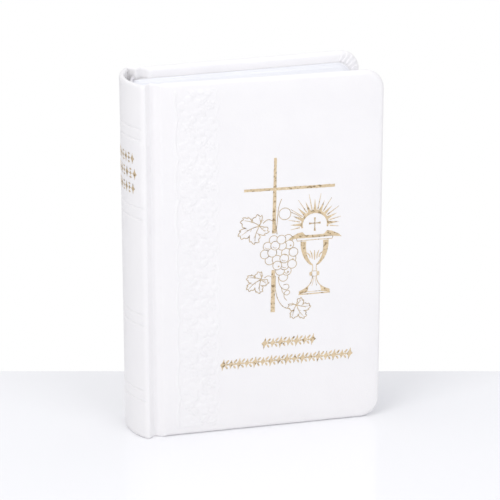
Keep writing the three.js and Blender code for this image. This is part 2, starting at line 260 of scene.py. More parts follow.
def shell(points: np.ndarray, quads: np.ndarray, uv: np.ndarray, thickness: float) -> Solid:
    """A closed sheet of some thickness.

    Args:
        points: the outer face's points.
        quads: its quads, turned outwards.
        uv: a UV for each point.
        thickness: how far the inner face lies below it.

    Returns:
        The closed solid.
    """
    a, b, c, d = (points[quads[:, k]] for k in range(4))
    normal = np.cross(c - a, d - b)
    total = np.zeros_like(points)
    for k in range(4):
        np.add.at(total, quads[:, k], normal)
    total /= np.maximum(np.linalg.norm(total, axis=1, keepdims=True), 1e-12)
    count = len(points)
    start = quads.reshape(-1)
    end = np.roll(quads, -1, axis=1).reshape(-1)
    open_edge = ~np.isin(start * count + end, end * count + start)
    start, end = start[open_edge], end[open_edge]
    rim = np.stack([end, start, start + count, end + count], axis=-1)
    faces = np.concatenate([quads, quads[:, ::-1] + count, rim])
    inner = points - total * thickness
    return Solid(np.concatenate([points, inner]), faces.tolist(), np.concatenate([uv, uv]))


def make_piece(
    name: str, solid: Solid, finishes: Sequence[bpy.types.Material], crease: float = 40.0
) -> bpy.types.Object:
    """A Blender object of a solid.

    Args:
        name: the piece's name.
        solid: its shape.
        finishes: its materials, by finish number.
        crease: edges sharper than this many degrees stay sharp.

    Returns:
        The new object.
    """
    mesh = bpy.data.meshes.new(name)
    mesh.from_pydata(PLAN.world(solid.points).tolist(), [], solid.faces)
    index = np.empty(len(mesh.loops), np.int32)
    mesh.loops.foreach_get("vertex_index", index)
    layer = mesh.uv_layers.new(name="surface")
    layer.data.foreach_set("uv", (solid.uv[index] / UV_MM).astype(np.float32).ravel())
    mesh.polygons.foreach_set("use_smooth", [True] * len(mesh.polygons))
    for finish in finishes:
        mesh.materials.append(finish)
    if solid.finish:
        mesh.polygons.foreach_set("material_index", solid.finish)
    mesh.set_sharp_from_angle(angle=math.radians(crease))
    mesh.update()
    piece = bpy.data.objects.new(name, mesh)
    bpy.context.scene.collection.objects.link(piece)
    LOG.info("%s: %d points, %d faces", name, len(mesh.vertices), len(mesh.polygons))
    return piece


def tube(path: np.ndarray, across: np.ndarray, up: np.ndarray, radii: np.ndarray, sides: int) -> Solid:
    """A closed tube along a path.

    Args:
        path: its centre points.
        across: a unit vector at each point, square to the path.
        up: the other one.
        radii: radius across and radius up for each point and each side, shaped (points, sides, 2).
        sides: how many sides it has.

    Returns:
        The closed solid.
    """
    turn = np.linspace(0.0, 2.0 * math.pi, sides, endpoint=False)
    ring = (
        path[:, None, :]
        + across[:, None, :] * (np.cos(turn)[None, :] * radii[:, :, 0])[..., None]
        + up[:, None, :] * (np.sin(turn)[None, :] * radii[:, :, 1])[..., None]
    )
    count = len(path)
    faces = []
    for i in range(count - 1):
        for k in range(sides):
            n = (k + 1) % sides
            faces.append([i * sides + k, i * sides + n, (i + 1) * sides + n, (i + 1) * sides + k])
    faces.append(list(range(sides))[::-1])
    faces.append([(count - 1) * sides + k for k in range(sides)])
    run = np.concatenate([[0.0], np.cumsum(np.linalg.norm(np.diff(path, axis=0), axis=1))])
    mean = float(radii.mean())
    uv = np.stack(np.broadcast_arrays(run[:, None], turn[None, :] * mean), axis=-1).reshape(-1, 2)
    return Solid(ring.reshape(-1, 3), faces, uv)


# ---------------------------------------------------------------- finishes


class Shader:
    """Wires the nodes of one material."""

    def __init__(self, name: str) -> None:
        """Starts a material with one principled shader, under that name.

        Args:
            name: the material's name.
        """
        self.material = bpy.data.materials.new(name)
        self.material.use_nodes = True
        self.tree = self.material.node_tree
        self.surface = self.tree.nodes["Principled BSDF"]
        self.place = self.add("ShaderNodeUVMap")

    def add(self, kind: str, **settings: object) -> bpy.types.Node:
        """A new node.

        Args:
            kind: its type.
            settings: its properties, or its input sockets where the name starts with in_.

        Returns:
            The node.
        """
        node = self.tree.nodes.new(kind)
        for key, value in settings.items():
            if key.startswith("in_"):
                node.inputs[key[3:].replace("_", " ")].default_value = value
            else:
                setattr(node, key, value)
        return node

    def link(self, source: bpy.types.NodeSocket, target: bpy.types.NodeSocket) -> None:
        """Joins two sockets."""
        self.tree.links.new(source, target)

    def set(self, **values: object) -> None:
        """Sets values that are the same all over, on the shader's own sockets."""
        for key, value in values.items():
            self.surface.inputs[key.replace("_", " ")].default_value = value

    def noise(self, scale: float, detail: float = 3.0, stretch: tuple = (1.0, 1.0, 1.0)) -> bpy.types.Node:
        """A noise texture on the piece's surface.

        Args:
            scale: how many waves in one UV unit.
            detail: how many finer layers.
            stretch: a scale for each direction.

        Returns:
            The texture node.
        """
        mapping = self.add("ShaderNodeMapping", in_Scale=stretch)
        self.link(self.place.outputs["UV"], mapping.inputs["Vector"])
        node = self.add("ShaderNodeTexNoise", in_Scale=scale, in_Detail=detail)
        self.link(mapping.outputs["Vector"], node.inputs["Vector"])
        return node

    def ramp(self, source: bpy.types.NodeSocket, stops: Sequence[tuple]) -> bpy.types.Node:
        """A colour ramp on a source.

        Args:
            source: what it reads.
            stops: position and colour of each stop.

        Returns:
            The ramp node.
        """
        node = self.add("ShaderNodeValToRGB")
        elements = node.color_ramp.elements
        while len(elements) < len(stops):
            elements.new(0.5)
        for element, (position, colour) in zip(elements, stops):
            element.position = position
            element.color = (*colour, 1.0)
        self.link(source, node.inputs["Fac"])
        return node

    def remap(self, source: bpy.types.NodeSocket, low: float, high: float) -> bpy.types.NodeSocket:
        """A source of 0 to 1 spread from low to high.

        Args:
            source: the socket it comes from.
            low: what 0 becomes.
            high: what 1 becomes.

        Returns:
            The socket of the spread value.
        """
        node = self.add("ShaderNodeMapRange")
        node.inputs["To Min"].default_value = low
        node.inputs["To Max"].default_value = high
        self.link(source, node.inputs["Value"])
        return node.outputs["Result"]

    def bump(self, layers: Sequence[tuple]) -> None:
        """Bumps on the shader.

        Args:
            layers: the height socket, strength and distance in metres of each layer.
        """
        before = None
        for height, strength, distance in layers:
            node = self.add("ShaderNodeBump", in_Strength=strength, in_Distance=distance)
            self.link(height, node.inputs["Height"])
            if before is not None:
                self.link(before.outputs["Normal"], node.inputs["Normal"])
            before = node
        self.link(before.outputs["Normal"], self.surface.inputs["Normal"])


@dataclass(frozen=True)
class Leatherette:
    """White coated cloth with a fine pressed grain."""

    name: str = "white_leatherette"
    pale: tuple = (0.910, 0.898, 0.906)
    dull: tuple = (0.890, 0.878, 0.890)
    grain: float = 26.0
    grain_height: float = 0.00006
    roughness: tuple = (0.36, 0.50)
    wave: float = 0.55  # waves of the cloth in one UV unit
    wave_height: float = 0.0004

    def material(self) -> bpy.types.Material:
        """Builds the finish.

        Returns:
            Its material.
        """
        shader = Shader(self.name)
        cloud = shader.noise(self.wave, 4.0)
        tint = shader.ramp(cloud.outputs["Fac"], [(0.3, self.dull), (0.7, self.pale)])
        shader.link(tint.outputs["Color"], shader.surface.inputs["Base Color"])
        pebble = shader.add(
            "ShaderNodeTexVoronoi", feature="SMOOTH_F1", in_Scale=self.grain, in_Smoothness=0.7
        )
        shader.link(shader.place.outputs["UV"], pebble.inputs["Vector"])
        crease = shader.noise(self.grain * 0.45, 5.0)
        shader.link(shader.remap(crease.outputs["Fac"], *self.roughness), shader.surface.inputs["Roughness"])
        shader.bump(
            [
                (cloud.outputs["Fac"], 0.10, self.wave_height),
                (crease.outputs["Fac"], 0.35, self.grain_height),
                (pebble.outputs["Distance"], 0.45, self.grain_height),
            ]
        )
        shader.set(Sheen_Weight=0.08, Sheen_Roughness=0.45, Coat_Weight=0.06, Coat_Roughness=0.35, IOR=1.46)
        return shader.material


@dataclass(frozen=True)
class GoldFoil:
    """Hot-stamped gold foil, broken a little by the grain under it."""

    name: str = "stamped_gold"
    gold: tuple = (0.71, 0.57, 0.38)
    bright: tuple = (0.87, 0.76, 0.57)
    brown: tuple = (0.28, 0.20, 0.11)
    roughness: tuple = (0.26, 0.48)

    def material(self) -> bpy.types.Material:
        """Builds the finish.

        Returns:
            Its material.
        """
        shader = Shader(self.name)
        patch = shader.noise(9.0, 5.0)
        tint = shader.ramp(
            patch.outputs["Fac"],
            [(0.35, self.brown), (0.46, self.gold), (0.60, self.gold), (0.70, self.bright)],
        )
        shader.link(tint.outputs["Color"], shader.surface.inputs["Base Color"])
        shader.link(shader.remap(patch.outputs["Fac"], *self.roughness), shader.surface.inputs["Roughness"])
        ripple = shader.noise(3.2, 4.0)
        grain = shader.noise(15.0, 4.0)
        shader.bump([(ripple.outputs["Fac"], 0.6, 0.0006), (grain.outputs["Fac"], 0.5, 0.0001)])
        shader.set(Metallic=1.0)
        return shader.material


@dataclass(frozen=True)
class Paper:
    """Uncoated paper with faint fibres."""

    name: str
    pale: tuple = (0.90, 0.90, 0.935)
    dull: tuple = (0.86, 0.86, 0.90)
    fibre: float = 18.0

    def material(self) -> bpy.types.Material:
        """Builds the finish.

        Returns:
            Its material.
        """
        shader = Shader(self.name)
        cloud = shader.noise(1.3, 5.0)
        tint = shader.ramp(cloud.outputs["Fac"], [(0.35, self.dull), (0.65, self.pale)])
        shader.link(tint.outputs["Color"], shader.surface.inputs["Base Color"])
        fibre = shader.noise(self.fibre, 6.0, (1.0, 2.6, 1.0))
        shader.link(shader.remap(fibre.outputs["Fac"], 0.62, 0.82), shader.surface.inputs["Roughness"])
        shader.bump([(fibre.outputs["Fac"], 0.25, 0.00005)])
        shader.set(Sheen_Weight=0.05)
        return shader.material


@dataclass(frozen=True)
class LeafEdges:
    """The cut edges of many thin leaves: fine darker lines across the block's thickness, along the UV's v,
    painted shade in the gaps between the leaves.
    """

    name: str = "leaf_edges"
    pale: tuple = (0.855, 0.86, 0.895)
    # the painted shade in the gaps between the leaves
    dark: tuple = (0.74, 0.75, 0.81)
    leaves_per_mm: float = 10.0

    def material(self) -> bpy.types.Material:
        """Builds the finish.

        Returns:
            Its material.
        """
        shader = Shader(self.name)
        lines = shader.noise(1.0, 2.0, (0.25, self.leaves_per_mm * UV_MM, 1.0))
        # dark stop: painted shade between the leaves; pale stop: the paper's own colour
        tint = shader.ramp(lines.outputs["Fac"], [(0.36, self.dark), (0.52, self.pale)])
        shader.link(tint.outputs["Color"], shader.surface.inputs["Base Color"])
        shader.link(shader.remap(lines.outputs["Fac"], 0.75, 0.60), shader.surface.inputs["Roughness"])
        shader.bump([(lines.outputs["Fac"], 0.35, 0.00008)])
        return shader.material


@dataclass(frozen=True)
class Weave:
    """An open or close weave of threads, or the winding of a thread."""

    name: str
    pale: tuple
    dark: tuple
    pitch_mm: float
    slant: float = 0.0
    height: float = 0.0001

    def material(self) -> bpy.types.Material:
        """Builds the finish.

        Returns:
            Its material.
        """
        shader = Shader(self.name)
        waves = []
        for turn in (self.slant, self.slant + math.pi / 2.0):
            mapping = shader.add("ShaderNodeMapping", in_Rotation=(0.0, 0.0, turn))
            shader.link(shader.place.outputs["UV"], mapping.inputs["Vector"])
            wave = shader.add(
                "ShaderNodeTexWave", in_Scale=UV_MM / self.pitch_mm / WAVE_TURNS, in_Distortion=0.7
            )
            shader.link(mapping.outputs["Vector"], wave.inputs["Vector"])
            waves.append(wave)
        both = shader.add("ShaderNodeMath", operation="MULTIPLY")
        shader.link(waves[0].outputs["Fac"], both.inputs[0])
        shader.link(waves[1].outputs["Fac"], both.inputs[1])
        tint = shader.ramp(both.outputs["Value"], [(0.05, self.dark), (0.45, self.pale)])
        shader.link(tint.outputs["Color"], shader.surface.inputs["Base Color"])
        shader.bump([(both.outputs["Value"], 0.6, self.height)])
        shader.set(Roughness=0.85, Sheen_Weight=0.2)
        return shader.material


@dataclass(frozen=True)
class Board:
    """Pressed grey board or brown lining paper, with flecks."""

    name: str
    pale: tuple
    fleck: tuple

    def material(self) -> bpy.types.Material:
        """Builds the finish.

        Returns:
            Its material.
        """
        shader = Shader(self.name)
        solid = shader.add("ShaderNodeTexCoord")
        noise = shader.add("ShaderNodeTexNoise", in_Scale=1900.0, in_Detail=6.0)
        shader.link(solid.outputs["Object"], noise.inputs["Vector"])
        tint = shader.ramp(noise.outputs["Fac"], [(0.36, self.fleck), (0.55, self.pale)])
        shader.link(tint.outputs["Color"], shader.surface.inputs["Base Color"])
        shader.bump([(noise.outputs["Fac"], 0.4, 0.0001)])
        shader.set(Roughness=0.9)
        return shader.material


@dataclass
class Palette:
    """Every finish of the book, made once."""

    leatherette: bpy.types.Material = field(default_factory=lambda: Leatherette().material())
    gold: bpy.types.Material = field(default_factory=lambda: GoldFoil().material())
    fine_gold: bpy.types.Material = field(
        default_factory=lambda: GoldFoil(
            "fine_stamped_gold", (0.57, 0.45, 0.29), (0.80, 0.69, 0.50), (0.27, 0.19, 0.10)
        ).material()
    )
    page: bpy.types.Material = field(default_factory=lambda: Paper("book_page").material())
    edges: bpy.types.Material = field(default_factory=lambda: LeafEdges().material())
    endpaper: bpy.types.Material = field(
        default_factory=lambda: Paper(
            "white_endpaper", (0.90, 0.90, 0.91), (0.87, 0.87, 0.885), 12.0
        ).material()
    )
    foam: bpy.types.Material = field(
        default_factory=lambda: Board("padding_foam", (0.86, 0.85, 0.80), (0.70, 0.69, 0.63)).material()
    )
    greyboard: bpy.types.Material = field(
        default_factory=lambda: Board(
            "pressed_greyboard", (0.60, 0.59, 0.56), (0.40, 0.39, 0.37)
        ).material()
    )
    kraft: bpy.types.Material = field(
        default_factory=lambda: Board("kraft_paper", (0.74, 0.69, 0.61), (0.60, 0.54, 0.46)).material()
    )
    gauze: bpy.types.Material = field(
        default_factory=lambda: Weave(
            "mull_gauze", (0.80, 0.78, 0.72), (0.45, 0.42, 0.37), 0.8
        ).material()
    )
    band: bpy.types.Material = field(
        default_factory=lambda: Weave(
            "headband_silk", (0.90, 0.89, 0.90), (0.62, 0.60, 0.64), 0.45, 0.5
        ).material()
    )
    thread: bpy.types.Material = field(
        default_factory=lambda: Weave(
            "linen_thread", (0.86, 0.84, 0.78), (0.55, 0.52, 0.46), 0.2, 0.7
        ).material()
    )


# ---------------------------------------------------------------- pressed lace


@dataclass(frozen=True)
class LaceBand:
    """A blind-pressed band of flowers and leaves, with a scalloped border towards the spine."""

    left: float = 11.4
    right: float = 26.6
    height: float = 0.23
    repeat: float = 14.7
    flower: float = 4.3
    scallop: float = 1.3
    net_wave: float = 5.2  # radians a millimetre of the net between the flowers
    end_margin: tuple = (2.2, 3.6)  # the band fades out between these heights from the cover's ends

    def blossom(
        self, x: np.ndarray, z: np.ndarray, at: tuple, radius: float, petals: int, turn: float
    ) -> np.ndarray:
        """Height of one flower.

        Args:
            x: places along the cover.
            z: places up it.
            at: the flower's middle.
            radius: how far its petals reach.
            petals: how many.
            turn: angle of the first, in radians.

        Returns:
            Its height from 0 to 1 at each place.
        """
        dx, dz = x - at[0], z - at[1]
        reach = np.hypot(dx, dz)
        angle = np.arctan2(dz, dx) + turn
        lobe = np.abs(np.cos(petals * angle / 2.0))
        edge = radius * (0.58 + 0.42 * lobe**0.6)
        dome = smooth(edge - reach, 0.0, 0.55) * (0.55 + 0.45 * lobe)
        hollow = np.exp(-(((reach - 0.42 * radius) / (0.14 * radius)) ** 2)) * 0.35
        button = smooth(0.30 * radius - reach, -0.2, 0.35)
        return np.clip(np.maximum(dome - hollow, button * 0.9), 0.0, 1.0)

    def leaf(self, x: np.ndarray, z: np.ndarray, at: tuple, length: float, turn: float) -> np.ndarray:
        """Height of one pointed leaf.

        Args:
            x: places along the cover.
            z: places up it.
            at: the leaf's middle.
            length: from stalk to point.
            turn: its direction, in radians.

        Returns:
            Its height from 0 to 1 at each place.
        """
        dx, dz = x - at[0], z - at[1]
        along = dx * math.cos(turn) + dz * math.sin(turn)
        aside = -dx * math.sin(turn) + dz * math.cos(turn)
        share = np.clip(along / (length / 2.0), -1.0, 1.0)
        half = 0.27 * length * (1.0 - share**2) * (1.0 - 0.3 * share)
        body = smooth(half - np.abs(aside), 0.0, 0.4)
        rib = np.exp(-((aside / 0.16) ** 2)) * 0.5
        return np.clip(body - rib * (half > 0.1), 0.0, 1.0)

    def line(self, away: np.ndarray, width: float) -> np.ndarray:
        """Height of a rounded line, by how far away from it a place is."""
        return np.exp(-((away / width) ** 2))

    def relief(self, x: np.ndarray, z: np.ndarray) -> np.ndarray:
        """How far the pressed lace stands out at each place of the front cover, in millimetres.

        Args:
            x: distances from the spine.
            z: heights.

        Returns:
            The relief at each place.
        """
        phase = z / self.repeat * 2.0 * math.pi
        border = self.left + self.scallop * (1.0 - np.abs(np.sin(phase / 2.0)) ** 0.5)
        total = np.maximum(0.0, 1.15 * self.line(x - border, 0.40))
        total = np.maximum(total, 0.40 * self.line(x - border - 1.15, 0.26))
        end = self.right - 0.45 * (1.0 + np.cos(phase * 2.0))
        total = np.maximum(total, 0.55 * self.line(x - end, 0.28))
        middle = (self.left + self.right) / 2.0
        count = int(PLAN.height / self.repeat) + 2
        for k in range(-1, count):
            base = k * self.repeat
            parts = (
                self.blossom(x, z, (middle - 2.4, base + 3.8), self.flower, 5, 0.3 + k),
                self.blossom(x, z, (middle + 3.2, base + 11.0), self.flower * 0.94, 6, 0.9 - k),
                self.blossom(x, z, (middle - 3.6, base + 11.3), self.flower * 0.50, 5, 0.1),
                self.blossom(x, z, (middle + 4.6, base + 4.1), self.flower * 0.46, 5, 0.7),
                self.leaf(x, z, (middle + 2.4, base + 5.9), 4.4, 0.75),
                self.leaf(x, z, (middle + 2.0, base + 1.4), 4.2, -0.85),
                self.leaf(x, z, (middle - 1.7, base + 8.8), 4.2, 2.2),
                self.leaf(x, z, (middle - 1.6, base + 13.6), 4.0, -2.3),
            )
            for part in parts:
                total = np.maximum(total, part)
        net = 0.10 * (0.5 + 0.5 * np.sin(x * self.net_wave) * np.sin(z * self.net_wave))
        inside = smooth(x - self.left, 0.6, 1.6) * smooth(self.right - x, 0.3, 1.2)
        total = np.maximum(total, net * inside)
        window = smooth(x - self.left, -0.6, -0.1) * smooth(self.right - x, -0.8, -0.2)
        ends = smooth(z, *self.end_margin) * smooth(PLAN.height - z, *self.end_margin)
        return self.height * total * window * ends


# ---------------------------------------------------------------- covers


@dataclass
class CoverSkin:
    """The leatherette of one cover: its face, the pressed joint, the rounded edges and the turn-ins."""

    side: Side
    lace: LaceBand | None
    leather: float = 0.45
    turn_in: float = 12.0
    inner_corner: float = 1.0
    inset: float = 1.6
    pillow: float = 0.30
    pillow_reach: float = 6.0
    pleats: int = 5
    pleat_height: float = 0.42
    tuck: float = 0.06  # the joint's first edge lies this far under the spine's leatherette
    tuck_x: tuple = (1.45, 1.95)  # where it rises out again
    board_x: tuple = (5.0, 9.0)  # the joint gives way to the board between these
    margin: float = 5.0  # the grid's rows spread out within this distance of head and tail
    squeeze_x: float = 60.0  # past here the turn-in's columns close up towards the corner
    wrap_steps: int = 8
    corner_steps: int = 36

    def thickness(self, x: np.ndarray) -> np.ndarray:
        """Thickness of the case at x: thin in the joint, full over the board."""
        return PLAN.joint + (PLAN.cover - PLAN.joint) * smooth(x, 5.0, 8.2)

    def columns(self) -> tuple[np.ndarray, np.ndarray]:
        """The grid's columns.

        Returns:
            Their x up to the corners' region, and the shares of the rest.
        """
        last = 68.0
        joint = np.linspace(PLAN.crest_x, 8.5, 32)
        if self.lace:
            band = np.arange(8.8, 28.2, 0.27)
            plain = np.linspace(29.0, last, 20)
        else:
            band = np.linspace(10.0, 28.0, 8)
            plain = np.linspace(31.0, last, 14)
        share = 1.0 - (1.0 - np.linspace(0.0, 1.0, 15)[1:]) ** 1.4
        return np.concatenate([joint, band, plain]), share

    def rows(self) -> np.ndarray:
        """The grid's rows, dense round the corners and under the lace.

        Returns:
            Their heights.
        """
        turn = np.linspace(0.0, math.pi / 2.0, self.corner_steps + 1)
        arc = (PLAN.corner - self.inset) * np.sin(turn)
        step = 0.28 if self.lace else 2.0
        low, high = PLAN.corner, PLAN.height - PLAN.corner
        middle = np.linspace(low, high, int((high - low) / step) + 1)[1:-1]
        return np.concatenate([(low - arc)[::-1], middle, high + arc])

    def depth(self, x: np.ndarray, z: np.ndarray) -> np.ndarray:
        """Depth of the outer face: the joint's groove, the padded fall to the edges, and the lace.

        Args:
            x: distances from the spine.
            z: heights.

        Returns:
            The depth below the cover's plane at each place.
        """
        across = x - (PLAN.width - PLAN.corner)
        up = np.abs(z - PLAN.height / 2.0) - (PLAN.height / 2.0 - PLAN.corner)
        outside = np.hypot(np.maximum(across, 0.0), np.maximum(up, 0.0))
        edge = PLAN.corner - outside - np.minimum(np.maximum(across, up), 0.0)
        fall = self.pillow * (1.0 - smooth(edge, self.inset * 0.4, self.pillow_reach)) ** 1.5
        depth = PLAN.groove(x) + fall * smooth(x, *self.board_x)
        depth = depth + self.tuck * (1.0 - smooth(x, *self.tuck_x))
        if self.lace:
            depth = depth - self.lace.relief(x, z)
        return depth

    def face(self) -> tuple[np.ndarray, np.ndarray]:
        """The face's grid.

        Returns:
            x and z of its points.
        """
        fixed, share = self.columns()
        level = self.rows()
        low, high = PLAN.corner, PLAN.height - PLAN.corner
        rise = np.maximum(np.maximum(low - level, level - high), 0.0)
        radius = PLAN.corner - self.inset
        right = PLAN.width - PLAN.corner + np.sqrt(np.maximum(radius**2 - rise**2, 0.0))
        last = fixed[-1] + share[None, :] * (right[:, None] - fixed[-1])
        x = np.concatenate([np.broadcast_to(fixed, (len(level), len(fixed))), last], axis=1)
        z = np.broadcast_to(level[:, None], x.shape).copy()
        local = self.thickness(x) / 2.0
        stretch = (self.margin - local) / (self.margin - self.inset)
        z = np.where(z < self.margin, self.margin - (self.margin - z) * stretch, z)
        top = PLAN.height - self.margin
        z = np.where(z > top, top + (z - top) * stretch, z)
        return x, z

    def rim(self, x: np.ndarray, z: np.ndarray) -> tuple[np.ndarray, np.ndarray, np.ndarray]:
        """The path round the tail, fore-edge and head.

        Args:
            x: the face grid's x places.
            z: its heights.

        Returns:
            The path's point numbers, the outward way at each, and the corner angle at each: -1 on
            straight runs.
        """
        rows, columns = x.shape
        index = np.arange(rows * columns).reshape(rows, columns)
        path = np.concatenate([index[0], index[1:, -1], index[-1, :-1][::-1]])
        px, pz = x.reshape(-1)[path], z.reshape(-1)[path]
        centre_x = PLAN.width - PLAN.corner
        low, high = PLAN.corner, PLAN.height - PLAN.corner
        way = np.zeros((len(path), 2))
        angle = np.full(len(path), -1.0)
        way[:columns] = (0.0, -1.0)
        way[columns + rows - 2 :] = (0.0, 1.0)
        for k in range(columns - 1, columns + rows - 1):
            rise = pz[k] - low if pz[k] < low else max(pz[k] - high, 0.0)
            vector = np.array([px[k] - centre_x, rise])
            if abs(rise) < 1e-9:
                vector = np.array([1.0, 0.0])
            else:
                angle[k] = math.degrees(math.atan2(abs(rise), max(vector[0], 0.0)))
            way[k] = vector / np.linalg.norm(vector)
        return path, way, angle

    def inner_path(self, px: np.ndarray, pz: np.ndarray, way: np.ndarray, angle: np.ndarray) -> np.ndarray:
        """Where the turn-in ends, for each point of the rim.

        Args:
            px: x of the rim's points.
            pz: their heights.
            way: the direction out of the cover at each.
            angle: how far round a corner each lies, or below zero on a straight side.

        Returns:
            x and z of the turn-in's end for each point.
        """
        right = PLAN.width - self.turn_in
        low, high = self.turn_in, PLAN.height - self.turn_in
        r = self.inner_corner
        target = np.zeros((len(px), 2))
        centre_x = PLAN.width - PLAN.corner
        for k in range(len(px)):
            if angle[k] >= 0.0:
                cz = low + r if way[k, 1] < 0 else high - r
                target[k] = (right - r + r * way[k, 0], cz + r * way[k, 1])
            elif way[k, 0] > 0.5:
                share = (pz[k] - PLAN.corner) / (PLAN.height - 2.0 * PLAN.corner)
                target[k] = (right, low + r + share * (high - low - 2.0 * r))
            else:
                share = (right - r - self.squeeze_x) / (centre_x - self.squeeze_x)
                squeezed = min(px[k], self.squeeze_x) + max(px[k] - self.squeeze_x, 0.0) * share
                target[k] = (squeezed, low if way[k, 1] < 0 else high)
        return target

    def build(self) -> Solid:
        """Builds the leatherette, turned in all round.

        Returns:
            The closed solid.
        """
        x, z = self.face()
        rows, columns = x.shape
        depth = self.depth(x, z)
        path, way, angle = self.rim(x, z)
        px, pz, pd = x.reshape(-1)[path], z.reshape(-1)[path], depth.reshape(-1)[path]
        inset = self.thickness(px) / 2.0
        full = self.thickness(px) + PLAN.groove(px) * (1.0 - smooth(px, *self.board_x))
        full = np.maximum(full, pd + 2.0 * inset * 0.98)
        full = np.where(px > self.board_x[1], PLAN.cover, full)
        target = self.inner_path(px, pz, way, angle)
        flat_x, flat_z, flat_d = [x.reshape(-1)], [z.reshape(-1)], [depth.reshape(-1)]
        uv = [np.stack([x.reshape(-1), z.reshape(-1)], axis=-1)]
        saw = (np.maximum(angle, 0.0) / 90.0 * self.pleats) % 1.0
        fold = np.where(angle >= 0.0, saw * (1.0 - smooth(saw, 0.86, 1.0)), 0.0)
        run = np.zeros(len(path))
        for k in range(1, self.wrap_steps + 1):
            phi = math.pi * k / self.wrap_steps
            out = inset * math.sin(phi)
            height = float(smooth(phi, math.pi * 0.30, math.pi * 0.85))
            flat_x.append(px + way[:, 0] * out)
            flat_z.append(pz + way[:, 1] * out)
            round_depth = (full - pd) / 2.0 * (1.0 - math.cos(phi))
            flat_d.append(pd + round_depth + fold * self.pleat_height * height)
            run = run + (full - pd) / 2.0 * math.pi / self.wrap_steps
            uv.append(np.stack([px + way[:, 0] * run, pz + way[:, 1] * run], axis=-1))
        for reach in (2.0, 2.4, 2.8, 3.2, 3.6, 4.2, 6.0, 9.0, self.turn_in):
            share = (reach - self.inset) / (self.turn_in - self.inset)
            flat_x.append(px + (target[:, 0] - px) * share)
            flat_z.append(pz + (target[:, 1] - pz) * share)
            height = float(smooth(reach, 1.2, 2.2) * (1.0 - smooth(reach, 3.2, 4.2)))
            flat_d.append(full + fold * self.pleat_height * height)
            far = run + (reach - self.inset)
            uv.append(np.stack([px + way[:, 0] * far, pz + way[:, 1] * far], axis=-1))
        count = len(path)
        faces = [grid_quads(rows, columns)]
        ring_start = rows * columns
        previous = path
        for k in range(len(flat_x) - 1):
            current = ring_start + k * count + np.arange(count)
            faces.append(np.stack([previous[:-1], current[:-1], current[1:], previous[1:]], axis=-1))
            previous = current
        quads = np.concatenate(faces)
        if self.side is Side.BACK:
            quads = quads[:, ::-1]
        places = (np.concatenate(flat) for flat in (flat_x, flat_d, flat_z))
        points = PLAN.on_cover(self.side, *places)
        return shell(points, quads, np.concatenate(uv), self.leather)


